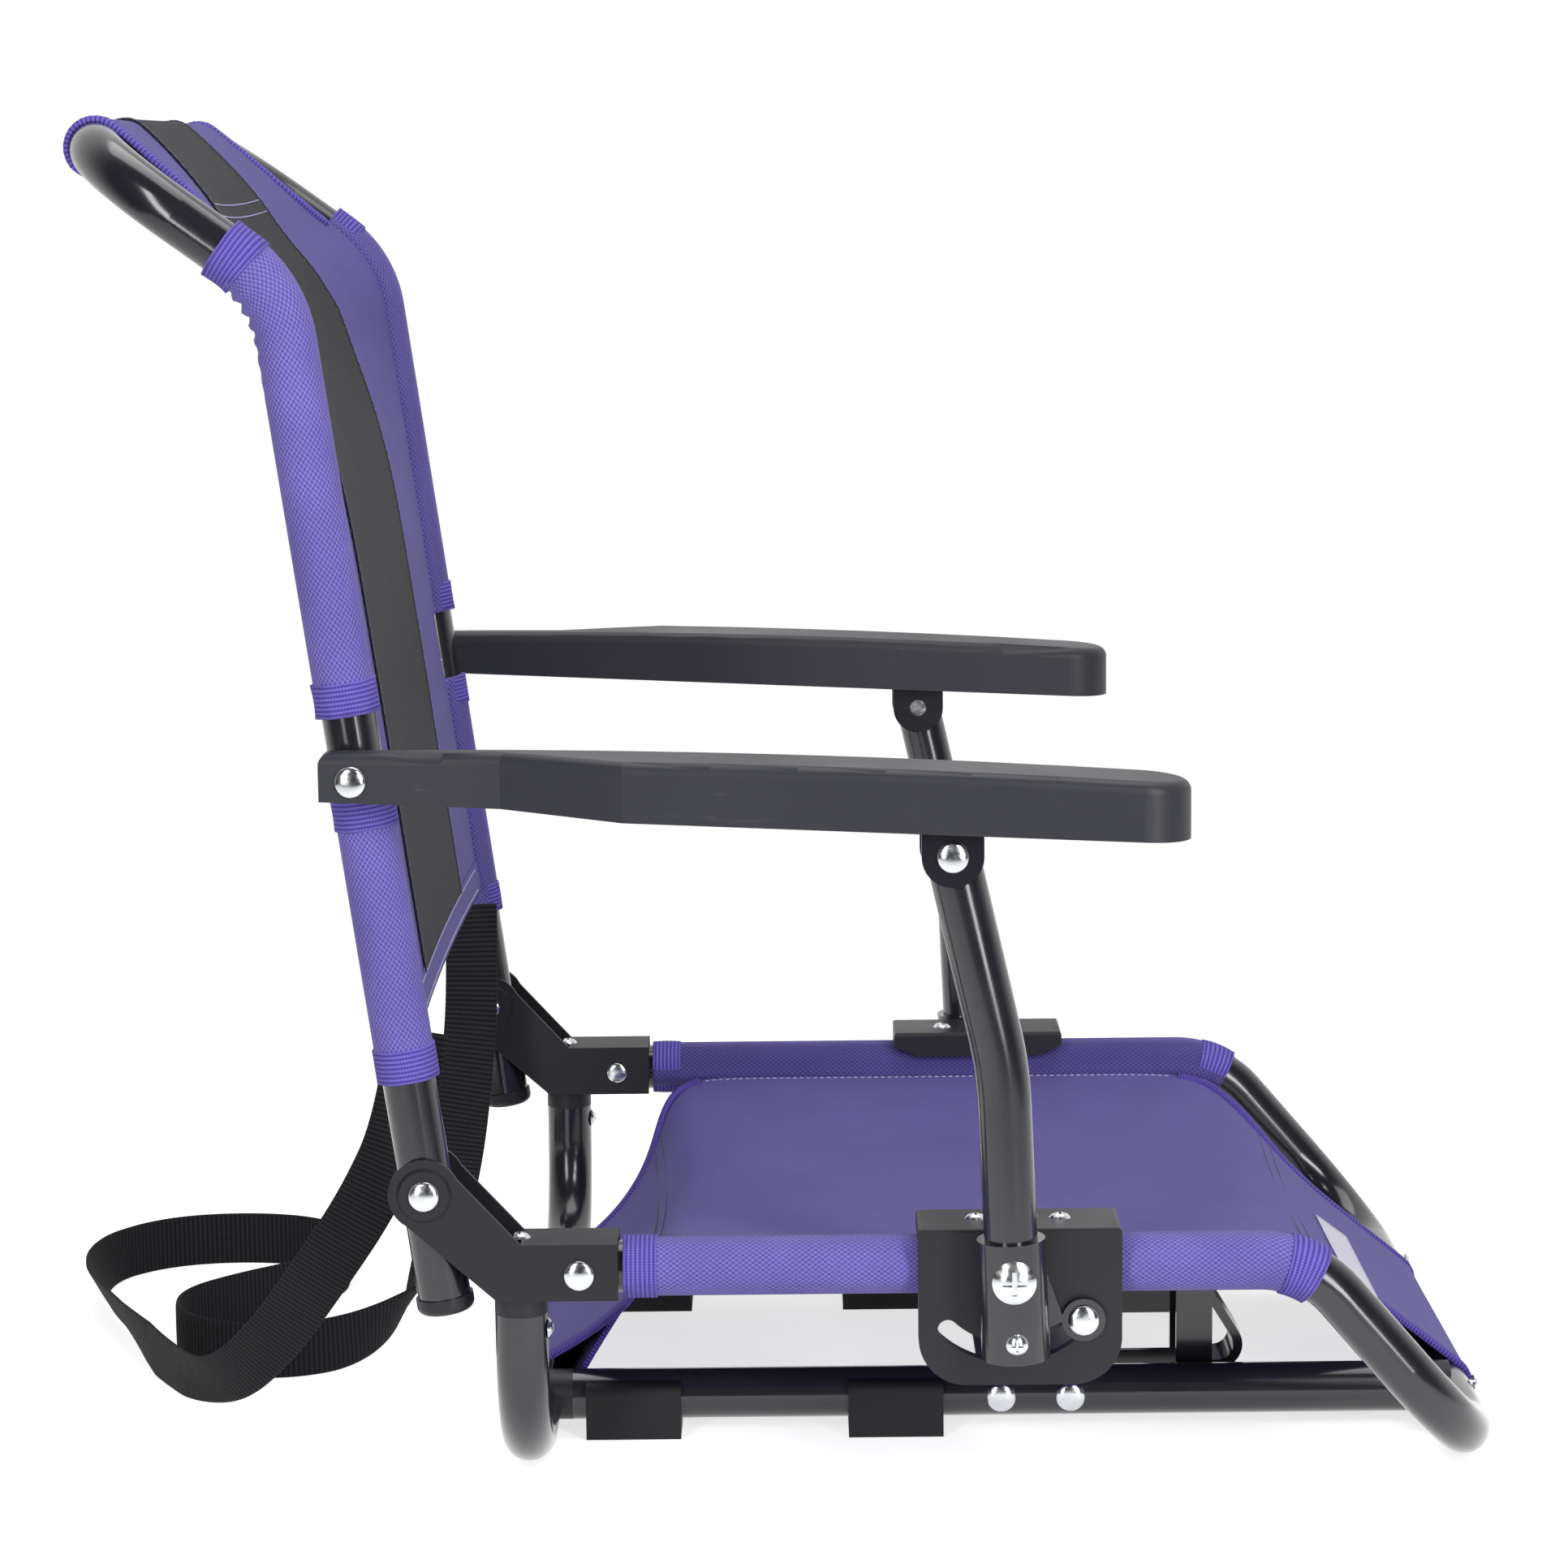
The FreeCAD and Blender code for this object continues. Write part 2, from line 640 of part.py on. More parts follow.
# Moulded arm: a channel open underneath, narrowed to a tongue beside the back tube
def arm_body(inset):
    """The arm's outer form, or with an inset the hollow inside its walls."""
    x0 = PIVOT_B.x - arm_rear
    x1 = PIVOT_C.x + arm_front
    out_y = half_arm + arm_width / 2
    tongue_out = tongue_inner + tongue_width
    start = x0 if inset == 0 else PIVOT_B.x + tongue_length / 3
    flare = PIVOT_B.x + tongue_length
    nose_x = x1 - arm_width / 2
    low_y = tongue_inner + inset
    high_y = out_y - inset
    tongue_y = tongue_out - inset
    edges = [
        Part.LineSegment(V(start, low_y, 0), V(nose_x, low_y, 0)).toShape(),
        Part.Arc(V(nose_x, low_y, 0), V(x1 - inset, half_arm, 0), V(nose_x, high_y, 0)).toShape(),
        Part.LineSegment(V(nose_x, high_y, 0), V(flare + flare_length, high_y, 0)).toShape(),
        Part.LineSegment(V(flare + flare_length, high_y, 0), V(flare, tongue_y, 0)).toShape(),
        Part.LineSegment(V(flare, tongue_y, 0), V(start, tongue_y, 0)).toShape(),
        Part.LineSegment(V(start, tongue_y, 0), V(start, low_y, 0)).toShape(),
    ]
    plan = Part.Face(Part.Wire(edges)).extrude(Z_AXIS * (PIVOT_B.z + tube_od * 4))
    base = PIVOT_C.z + arm_above_clevis
    low_rear = PIVOT_B.z - arm_below_rear
    top_rear = PIVOT_B.z + arm_above_rear
    top_clevis = base + arm_depth_front
    fall = (top_rear - top_clevis) / link_reach
    base_fall = (low_rear - base) / link_reach
    reach = x1 - PIVOT_C.x
    under = tube_od if inset else 0.0
    crown = V((x0 + x1) / 2, 0, (top_rear + top_clevis) / 2 + arm_crown / 2 - inset)
    low_a = V(x0 - 1, 0, low_rear - under)
    low_b = V(x1 + 1, 0, base - base_fall * reach / 3 - under)
    top_b = V(x1 + 1, 0, top_clevis - fall * reach - inset)
    top_a = V(x0 - 1, 0, top_rear - inset)
    side = Part.Wire([
        Part.LineSegment(low_a, low_b).toShape(),
        Part.LineSegment(low_b, top_b).toShape(),
        Part.Arc(top_b, crown, top_a).toShape(),
        Part.LineSegment(top_a, low_a).toShape(),
    ])
    profile = Part.Face(side).extrude(Y_AXIS * arm_track)
    body = plan.common(profile)
    if inset:
        return body
    top_face = max(body.Faces, key=lambda face: face.CenterOfMass.z)
    return body.makeFillet(arm_width / 8, top_face.Edges)


arm_pin_hole = rod_y(PIVOT_B, 0, arm_track, rivet_shank + running_gap)
arm_hollow = arm_body(arm_wall)

# Sheet clevis under each arm's ceiling, its ears hanging down to the support
ear_in = tube_r + clevis_gap
ear_out = ear_in + clevis_sheet
clevis_x0 = PIVOT_C.x - clevis_width / 2
clevis_x1 = PIVOT_C.x + clevis_width / 2
ceiling_space = block(
    clevis_x0, clevis_x1, half_arm - ear_out, half_arm + ear_out, PIVOT_C.z, PIVOT_B.z + tube_od * 2
).common(arm_hollow)
clevis_space = block(
    clevis_x0, clevis_x1, half_arm - ear_in, half_arm + ear_in,
    PIVOT_C.z - clevis_width, PIVOT_B.z + tube_od * 2,
)
under_roof = arm_hollow.translated(-Z_AXIS * clevis_sheet).common(clevis_space)
ear_discs = [
    rod_y(PIVOT_C, half_arm + sign * ear_in, half_arm + sign * ear_out, clevis_width / 2)
    for sign in (-1, 1)
]
clevis_hole = rod_y(PIVOT_C, half_arm - ear_out, half_arm + ear_out, rivet_shank)
clevis_screw_base = ceiling_space.BoundBox.ZMax - clevis_sheet * 2
clevis_screw_length = clevis_sheet * 2 + arm_wall / 2
clevis_screws = [
    cross_screw(V(PIVOT_C.x + offset, half_arm, clevis_screw_base), -Z_AXIS, clevis_screw_length,
                screw_shank, screw_head, screw_dome)
    for offset in (-clevis_width / 4, clevis_width / 4)
]
clevis = ceiling_space.cut(under_roof).fuse(ear_discs).cut([clevis_hole] + clevis_screws)
add_pair("arm_clevis", clevis.removeSplitter())
add_pair("clevis_screws", Part.Compound(clevis_screws))
add_pair(
    "clevis_rivet",
    rivet_y(PIVOT_C, half_arm - ear_out, half_arm + ear_out, rivet_shank, rivet_head, rivet_dome),
)
add_pair("armrest", arm_body(0).cut([arm_hollow, arm_pin_hole] + clevis_screws))

# Back tube with end caps, arm pivot rivets and washers
arm_rivet_outer = tongue_inner + tongue_width
arm_rivet_hole = rod_y(PIVOT_B, half_track - tube_r, half_track + tube_r, rivet_shank)
back_pin_hole = rod_y(PIVOT_A, half_track - tube_r, half_track + tube_r, rivet_shank + running_gap)
parts["back_frame_tube"] = swept_tube(back_wire, tube_r, tube_wall).cut(
    both_sides(arm_rivet_hole) + both_sides(back_pin_hole)
)
add_group("arm_pivot_rivets", [
    rivet_y(PIVOT_B, half_track - tube_r, arm_rivet_outer + running_gap,
            rivet_shank, rivet_head, rivet_dome)
])
washer = rod_y(PIVOT_B, half_track + tube_r, tongue_inner - running_gap, washer_radius)
add_group("arm_washers", [washer.cut(rod_y(PIVOT_B, 0, arm_track, rivet_shank))])
tail_end = on_side(back_point(-back_tail), half_track)
down = V(math.sin(lean), 0, -math.cos(lean))
cap_ring = Part.makeCylinder(tube_r + cap_rim, cap_length, tail_end, down)
cap_ring = cap_ring.makeFillet(cap_length / 2, [cap_ring.Edges[0]])
cap_plug = Part.makeCylinder(tube_r - tube_wall, cap_length, tail_end - down * cap_length, down)
add_pair("back_tube_cap", cap_ring.fuse(cap_plug).removeSplitter())


# Woven cloth: flat-cut strips lofted through sections, each section an arc across the seat
def cloth_section(station, low, high):
    """A closed ring across the cloth at one station, from y = low to y = high."""
    point, normal, half, sag = station[:4]
    rim = []
    for skin in (cloth / 2, -cloth / 2):
        row = []
        for y in (low, (low + high) / 2, high):
            dip = sag * (1 - (y / half) ** 2)
            row.append(point + Y_AXIS * y + normal * (skin - dip))
        rim.append(row)
    top, under = rim
    if sag == 0:
        across = [Part.LineSegment(top[0], top[2]), Part.LineSegment(under[2], under[0])]
    else:
        across = [Part.Arc(*top), Part.Arc(under[2], under[1], under[0])]
    ends = [Part.LineSegment(top[2], under[2]), Part.LineSegment(under[0], top[0])]
    return Part.Wire([edge.toShape() for edge in (across[0], ends[0], across[1], ends[1])])


def cloth_loft(stations, low, high):
    """A strip of cloth through the stations, its edges given by two functions of a station."""
    rings = [cloth_section(station, low(station), high(station)) for station in stations]
    return Part.makeLoft(rings, True, True)


def wrap_stations(centre, start, end, half, *more):
    """Stations round a cross bar, from a start to an end angle above the front."""
    count = math.ceil(abs(end - start) / wrap_step)
    radius = sleeve_inner / math.cos(math.radians(wrap_step / 2)) + cloth / 2
    stations = []
    for index in range(count + 1):
        angle = math.radians(start + (end - start) * index / count)
        normal = V(math.cos(angle), 0, math.sin(angle))
        stations.append((centre + normal * radius, normal, half, 0.0) + more)
    return stations


def flat_station(x, z, slope_degrees, half, sag, *more):
    """A station on a run that climbs at slope_degrees towards the front."""
    angle = math.radians(slope_degrees + 90)
    return (V(x, 0, z), V(math.cos(angle), 0, math.sin(angle)), half, sag) + more


# Seat sling: a loop round the rear bar, the seat between its sleeves, a loop round the front bar
rear_bar = V(0, 0, cross_height)
front_bar = V(front_cross_x, 0, cross_height)
cloth_level = rail_height - cloth_drop
seat_half = half_track - math.sqrt((sleeve_inner + cloth / 2) ** 2 - cloth_drop ** 2)
bend_start = slope_vertex_x - rail_bend * math.tan(slope / 2)
seat_tongue_half = half_runner - tube_r - loop_side_gap
seat_loop_half = half_runner - pad_width / 2 - loop_side_gap


def narrow_run(rows, start, end_half):
    """Stations of a narrowing end, from its table rows and its narrow half width."""
    return [
        flat_station(start + past, cloth_level - drop, climb,
                     end_half + (seat_half - end_half) * width_share, seat_sag * sag_share)
        for past, drop, climb, width_share, sag_share in rows
    ]


loop_seam = flat_station(seat_sleeve_rear - loop_seam_back, cloth_level - loop_seam_drop,
                         loop_climb + 180, seat_loop_half, 0.0)
tongue_seam = flat_station(front_cross_x - tongue_seam_back, cross_height + tongue_seam_rise,
                           tongue_seam_climb, seat_tongue_half, 0.0)
seat_run = [
    flat_station(seat_sleeve_rear + seat_flat_start, cloth_level, 8.0, seat_half, seat_sag),
    flat_station(PIVOT_D.x, cloth_level, 0.0, seat_half, seat_sag_middle),
    flat_station(bend_start - seat_flat_end, cloth_level, -4.0, seat_half, seat_sag),
]
seat_stations = (
    [loop_seam]
    + wrap_stations(rear_bar, loop_wrap_start, loop_climb + 90 - 360, seat_loop_half)
    + narrow_run(loop_rows, seat_sleeve_rear, seat_loop_half)
    + seat_run
    + narrow_run(tongue_rows, bend_start, seat_tongue_half)
    + wrap_stations(front_bar, 90 - tongue_fall, tongue_wrap_end, seat_tongue_half)
    + [tongue_seam]
)


def rail_arc(degrees):
    """A point of the rail's front bend, measured from where the bend starts."""
    angle = math.radians(degrees)
    drop = rail_bend * (1 - math.cos(angle))
    return V(bend_start + rail_bend * math.sin(angle), half_track, rail_height - drop)


sleeve_wire = Part.Wire([
    Part.LineSegment(V(seat_sleeve_rear, half_track, rail_height), rail_arc(0)).toShape(),
    Part.Arc(rail_arc(0), rail_arc(seat_sleeve_turn / 2), rail_arc(seat_sleeve_turn)).toShape(),
])
seat_sleeve = swept_tube(sleeve_wire, sleeve_outer, cloth)
seat_cloth = cloth_loft(seat_stations, lambda s: -s[2], lambda s: s[2])
cloth_tools = [rod_y(PIVOT_D, pivot_foot, pivot_head_y, rivet_shank + cloth_gap)]
for x in screw_spots:
    foot = V(x, half_track, screw_foot)
    cloth_tools.append(Part.makeCylinder(screw_shank + cloth_gap, screw_length, foot, Z_AXIS))
sleeve_bores = both_sides(swept_rod(sleeve_wire, sleeve_inner))
seat_sling = seat_cloth.cut(sleeve_bores).fuse(both_sides(seat_sleeve))
for tool in cloth_tools:
    seat_sling = seat_sling.cut(both_sides(tool))
parts["seat_sling"] = seat_sling

# Back sling: purple side strips on sleeves, a centre panel, a bottom hem, and a loop over the top bar
front_normal = V(math.cos(lean), 0, math.sin(lean))
up_direction = V(-math.sin(lean), 0, math.cos(lean))
turn = math.pi / 2 - upper - lean
back_reach = back_bend * math.tan(turn / 2)
bend_foot = back_point(back_vertex_distance - back_reach)
bend_centre = bend_foot - front_normal * back_bend
upper_normal = front_normal * math.cos(turn) + up_direction * math.sin(turn)
bend_end = back_vertex + upper_direction * back_reach
back_half = half_track - math.sqrt((sleeve_inner + cloth / 2) ** 2 - cloth_forward ** 2)
arm_distance = math.hypot(link_rise, link_lean)
notch_low = arm_distance - arm_gap_below
notch_high = arm_distance + arm_gap_above


def low_station(distance, half, sag):
    return (back_point(distance) + front_normal * cloth_forward, front_normal, half, sag, panel_half)


def bend_station(share):
    angle = turn * share
    panel = panel_half - (panel_half - middle_panel) * share
    normal = front_normal * math.cos(angle) + up_direction * math.sin(angle)
    return (bend_centre + normal * (back_bend + cloth_forward), normal, back_half, back_sag, panel)


def upper_station(distance, offset, facing, half, panel):
    point = back_vertex + upper_direction * distance + upper_normal * offset
    return (point, upper_normal * facing, half, 0.0, panel)


top_angle = 90.0 - back_upper_angle
bend_steps = 3
middle_panel = (panel_half + panel_top_half) / 2
back_stations = (
    [
        low_station(back_hem_low + back_hem_height + seam_gap, back_half, back_sag),
        low_station(notch_low - arm_notch, back_half, back_sag),
        low_station(notch_low, back_half - arm_notch, back_sag),
        low_station(notch_high, back_half - arm_notch, back_sag),
        low_station(notch_high + arm_notch, back_half, back_sag),
        low_station((notch_high + back_vertex_distance) / 2, back_half, back_sag),
    ]
    + [bend_station(index / bend_steps) for index in range(bend_steps + 1)]
    + [
        upper_station(back_sleeve_reach + 4, cloth_forward + 1, 1, back_half - 6, middle_panel),
        upper_station(top_fold_reach, top_fold_rise, 1, back_tongue_half + 6, middle_panel),
    ]
    + wrap_stations(back_top, top_angle, top_angle + top_wrap, back_tongue_half, panel_top_half)
    + [upper_station(top_seam_reach, -top_seam_drop, -1, back_tongue_half, panel_top_half)]
)
hem_stations = [low_station(back_hem_low, back_half, back_sag),
                low_station(back_hem_low + back_hem_height, back_half, back_sag)]
lower_sleeve_wire = Part.Wire(Part.LineSegment(
    on_side(back_point(back_sleeve_bottom), half_track), on_side(back_point(notch_low), half_track)
).toShape())
sleeve_top = back_vertex + upper_direction * back_sleeve_reach
upper_sleeve_wire = Part.Wire([
    Part.LineSegment(on_side(back_point(notch_high), half_track), on_side(bend_foot, half_track)).toShape(),
    Part.Arc(
        on_side(bend_foot, half_track),
        on_side(bend_centre + (front_normal + upper_normal).normalize() * back_bend, half_track),
        on_side(bend_end, half_track),
    ).toShape(),
    Part.LineSegment(on_side(bend_end, half_track), on_side(sleeve_top, half_track)).toShape(),
])
lower_sleeve = swept_tube(lower_sleeve_wire, sleeve_outer, cloth)
upper_sleeve = swept_tube(upper_sleeve_wire, sleeve_outer, cloth)
back_bores = [swept_rod(wire, sleeve_inner) for wire in (lower_sleeve_wire, upper_sleeve_wire)]
side_strip = cloth_loft(back_stations, lambda s: s[4] + seam_gap, lambda s: s[2])
add_pair("back_sling", side_strip.cut(back_bores).fuse([lower_sleeve, upper_sleeve]))
parts["back_center_panel"] = cloth_loft(back_stations, lambda s: -s[4], lambda s: s[4])
hem = cloth_loft(hem_stations, lambda s: -s[2], lambda s: s[2])
parts["back_hem"] = hem.cut(both_sides(lower_sleeve) + both_sides(back_bores[0]))

# Hook bar riveted between the runners, with lugs for the hook rod
bar_x0 = hook_bar_centre - hook_bar_width / 2
bar_x1 = hook_bar_centre + hook_bar_width / 2
bar_half = half_runner - tube_r
bar_top = runner_height + tube_r
hook_pivot = V(hook_pivot_x, 0, hook_pivot_z)
bar = block(bar_x0, bar_x1, -bar_half, bar_half, bar_top - hook_bar_sheet, bar_top)
tabs = [
    block(bar_x0, bar_x1, y0, y0 + hook_bar_sheet, runner_height - tube_r / 2, bar_top)
    for y0 in (-bar_half, bar_half - hook_bar_sheet)
]
hook_in = hook_offset - hook_width / 2
hook_out = hook_offset + hook_width / 2
lug_outline = [
    (bar_x1 - lug_root, bar_top - hook_bar_sheet), (bar_x1, bar_top - hook_bar_sheet),
    (bar_x1, lug_low + lug_rail), (hook_pivot_x - hook_eye, lug_low + lug_rail),
    (hook_pivot_x - hook_eye, hook_pivot_z), (hook_pivot_x + hook_eye, hook_pivot_z),
    (hook_pivot_x + hook_eye, lug_low), (bar_x1 - lug_root, lug_low),
]
lugs = []
for y0 in (hook_in - hook_side_gap - lug_sheet, hook_out + hook_side_gap):
    lug = face_xz(lug_outline, y0).extrude(Y_AXIS * lug_sheet)
    lug = lug.fuse(rod_y(hook_pivot, y0, y0 + lug_sheet, hook_eye))
    lugs += both_sides(lug.cut(rod_y(hook_pivot, y0, y0 + lug_sheet, hook_rod + running_gap)))
bar_holes = [rod_y(spot, -track, track, small_rivet_shank) for spot in hook_rivets]
parts["hook_bar"] = bar.fuse(tabs + lugs).cut(bar_holes).removeSplitter()
add_group("hook_bar_rivets", [
    rivet_y(spot, bar_half - hook_bar_sheet, half_runner + tube_r,
            small_rivet_shank, rivet_head, rivet_dome)
    for spot in hook_rivets
])

# Bench hooks: pressed J strips with rolled eyes, both fixed on one rod
rod_half = hook_out + hook_side_gap + lug_sheet
parts["hook_rod"] = rod_y(hook_pivot, -rod_half, rod_half, hook_rod)
eye_edge = hook_eye - hook_sheet / 2
hook_route = [
    V(hook_pivot_x + eye_edge, hook_offset, hook_pivot_z),
    V(hook_pivot_x + eye_edge + hook_shank_lean, hook_offset, hook_pivot_z - hook_shank_drop),
    V(hook_pivot_x + hook_reach, hook_offset, hook_foot),
    V(hook_pivot_x - hook_toe, hook_offset, hook_foot),
]
hook_wire = filleted_path(hook_route, [hook_shank_bend, hook_foot_bend])
hook_strip = swept_band(hook_wire, hook_width, hook_sheet, V(0, 1, 0))
eye = rod_y(hook_pivot, hook_in, hook_out, hook_eye)
hook = hook_strip.fuse(eye).cut(rod_y(hook_pivot, hook_in, hook_out, hook_rod))
add_pair("bench_hook", hook.removeSplitter())

# Carry strap: sewn under the back hem at both ends, hanging down and laid on its edge in loose curls
strap_floor = strap_width / 2 + cloth_gap
hem_foot = hem_stations[0][0]
strap_hang = [
    V(hem_foot.x, 140.0, hem_foot.z - strap_drop),
    V(-43.5, 137.0, 152.0),
    V(-46.0, 121.0, 112.0),
    V(-50.0, 95.0, 76.0),
    V(-56.0, 64.0, 43.0),
    V(-67.0, 30.0, 21.0),
]
strap_laid = [
    (-90.0, -2.0), (-122.0, -20.0), (-155.0, -12.0), (-177.0, 12.0), (-177.0, 44.0), (-155.0, 70.0),
    (-128.0, 92.0), (-109.0, 120.0), (-109.0, 152.0), (-131.0, 176.0), (-165.0, 184.0), (-200.0, 178.0),
    (-225.0, 155.0), (-232.0, 122.0), (-224.0, 87.0), (-209.0, 52.0), (-195.0, 15.0), (-179.0, -22.0),
    (-160.0, -57.0),
]
strap_rise = [
    V(-138.0, -86.0, 20.0),
    V(-114.0, -108.0, 46.0),
    V(-91.0, -126.0, 80.0),
    V(-68.0, -140.0, 115.0),
    V(-50.0, -150.0, 153.0),
    V(hem_foot.x, -153.0, hem_foot.z - strap_drop),
]
strap_route = strap_hang + [V(x, y, strap_floor) for x, y in strap_laid] + strap_rise


def widest_arcs(points):
    """The largest tangent arc that each corner's two runs leave room for."""
    radii = []
    for before, corner, after in zip(points, points[1:], points[2:]):
        run_in = corner - before
        run_out = after - corner
        shorter = min(run_in.Length, run_out.Length)
        radii.append(strap_arc_share * shorter / math.tan(run_in.getAngle(run_out) / 2))
    return radii


strap_radii = widest_arcs(strap_route)
strap_wire = filleted_path(strap_route, strap_radii)
strap_travel = (strap_route[1] - strap_route[0]).normalize()
strap_heading = strap_route[len(strap_hang)] - strap_route[0]
strap_side = V(strap_heading.y, -strap_heading.x, 0)
carry_strap = swept_band(strap_wire, strap_width, strap_thickness, strap_travel.cross(strap_side))
parts["carry_strap"] = carry_strap
strap_share = carry_strap.Volume / (strap_width * strap_thickness * strap_wire.Length)
print("strap length", round(strap_wire.Length, 1), "volume share", round(strap_share, 4))
print("strap radii", [round(radius) for radius in strap_radii])

# The origin stands on the floor under the middle of the seat, the loose strap left out
outer_box = FreeCAD.BoundBox()
for name, shape in parts.items():
    if name != "carry_strap":
        outer_box.add(shape.optimalBoundingBox(False, False))
origin_shift = V(-outer_box.Center.x, 0, 0)
for shape in parts.values():
    shape.translate(origin_shift)
print("origin shift", round(origin_shift.x, 3), "lowest", round(outer_box.ZMin, 3))
for name, pivot in (("A", PIVOT_A), ("B", PIVOT_B), ("C", PIVOT_C), ("D", PIVOT_D), ("hook", hook_pivot)):
    print("pivot", name, round(pivot.x + origin_shift.x, 3), round(pivot.z, 3))
for name, shape in parts.items():
    print(name, len(shape.Solids), round(shape.Volume / 1000, 2), shape.isValid())
os.makedirs("parts", exist_ok=True)
for name, shape in parts.items():
    shape.exportStep("parts/" + name + ".step")
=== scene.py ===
# %% [markdown]
# # A folding stadium seat
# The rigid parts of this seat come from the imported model: bent tubes, brackets, arms, rivets. They are
# already in the right place, so here they only get a finish. The soft parts are made new: woven slings
# on sleeves, hems, stitching, and a loose carry strap.

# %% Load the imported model
import json
import math

import bpy
import numpy as np
from mathutils import Matrix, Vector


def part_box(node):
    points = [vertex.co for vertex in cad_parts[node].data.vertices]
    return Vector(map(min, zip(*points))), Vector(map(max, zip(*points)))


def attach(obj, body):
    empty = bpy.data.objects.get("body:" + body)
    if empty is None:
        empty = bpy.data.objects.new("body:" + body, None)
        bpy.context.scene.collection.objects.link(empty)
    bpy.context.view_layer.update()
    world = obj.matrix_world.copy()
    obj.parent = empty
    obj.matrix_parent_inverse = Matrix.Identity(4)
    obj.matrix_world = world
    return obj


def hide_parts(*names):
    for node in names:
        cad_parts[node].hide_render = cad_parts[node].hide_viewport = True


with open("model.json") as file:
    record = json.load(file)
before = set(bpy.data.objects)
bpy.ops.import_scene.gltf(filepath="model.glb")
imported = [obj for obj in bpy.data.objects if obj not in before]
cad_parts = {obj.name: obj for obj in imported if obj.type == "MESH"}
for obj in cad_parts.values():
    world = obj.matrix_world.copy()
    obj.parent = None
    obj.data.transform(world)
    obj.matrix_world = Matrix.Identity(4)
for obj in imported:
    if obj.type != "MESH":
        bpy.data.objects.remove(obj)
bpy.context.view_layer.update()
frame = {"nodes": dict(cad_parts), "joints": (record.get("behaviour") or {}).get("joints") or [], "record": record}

# %% [markdown]
# ## Measures taken from the model
# Cloth has to sit on its tubes, so the places of the tubes are read from the model's own boxes and
# joints. Only what the boxes can't tell, such as a bend's angle, is written here as a size in metres.

# %% Places of the tubes
mm = 0.001
tube = 11 * mm
sides = ((1, "left"), (-1, "right"))
joint_place = {joint["name"]: np.array(joint["pos_m"]) for joint in frame["joints"]}
hinge = joint_place["back_fold"]
arm_pin = joint_place["left_arm_turn"]
support_pin = joint_place["left_support_turn"]

seat_low, seat_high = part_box("seat_frame_tube")
half_track = seat_high.y - tube
rail_z = seat_high.z - tube
front_bar = np.array([seat_high.x - tube, seat_low.z + tube])
leg_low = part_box("rear_leg_tube")[0]
rear_bar = np.array([leg_low.x + tube, leg_low.z + tube])
back_low, back_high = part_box("back_frame_tube")
top_bar = np.array([back_low.x + tube, back_high.z - tube])

slope_angle = math.radians(49.5)
rail_bend = 45 * mm
upper_angle = math.radians(36)
back_bend = 50 * mm
slope_vertex = np.array([front_bar[0] - (rail_z - front_bar[1]) / math.tan(slope_angle), rail_z])
lean = math.atan2(hinge[0] - arm_pin[0], arm_pin[2] - hinge[2])
back_up = np.array([-math.sin(lean), math.cos(lean)])
upper_way = np.array([-math.cos(upper_angle), math.sin(upper_angle)])
back_foot = hinge[[0, 2]]
reach = np.linalg.solve(np.stack([back_up, -upper_way], axis=1), top_bar - back_foot)
back_vertex = back_foot + back_up * reach[0]
arm_distance = float(np.linalg.norm(arm_pin - hinge))
print("rail height", round(rail_z, 4), "back vertex", back_vertex.round(4))

# %% [markdown]
# ## Camera
# The photograph was taken from the seat's right side with a long lens, a little above the arms. Lines
# that run across the seat meet at one point of the picture, and that point gives the camera's pitch and
# yaw. The floor climbs slightly to the right in the picture, which is the camera's roll.

# %% Camera from the vanishing point
image_width = 1932
focal_pixels = 5024.0
vanishing_right, vanishing_up = 6.0, 776.0
roll = math.radians(0.6)
camera_place = (-0.00099, -1.835, 0.55582)
sensor = 36.0

depth_axis = np.array([vanishing_right, vanishing_up, -focal_pixels])
depth_axis /= np.linalg.norm(depth_axis)
flat = np.array([math.cos(roll), math.sin(roll)])
side_axis = np.array([*flat, -(flat @ depth_axis[:2]) / depth_axis[2]])
side_axis /= np.linalg.norm(side_axis)
up_axis = np.cross(side_axis, depth_axis)
camera_turn = Matrix(np.stack([side_axis, depth_axis, up_axis]).tolist())

camera_data = bpy.data.cameras.new("photo_camera")
camera_data.sensor_width = sensor
camera_data.lens = sensor * focal_pixels / image_width
camera_data.clip_end = 50
camera = bpy.data.objects.new("photo_camera", camera_data)
camera.matrix_world = Matrix.Translation(camera_place) @ camera_turn.to_4x4()
bpy.context.scene.collection.objects.link(camera)
bpy.context.scene.camera = camera
print("lens", round(camera_data.lens, 1), "mm")

# %% [markdown]
# ## Helpers for grids and finishes
# Every new surface here is a grid: a formula gives a point for each pair of parameters, numpy works out
# the whole array at once, and one call fills the mesh. The grid's own coordinates, in metres, become its
# UV map, so a weave keeps its true pitch however the cloth bends.

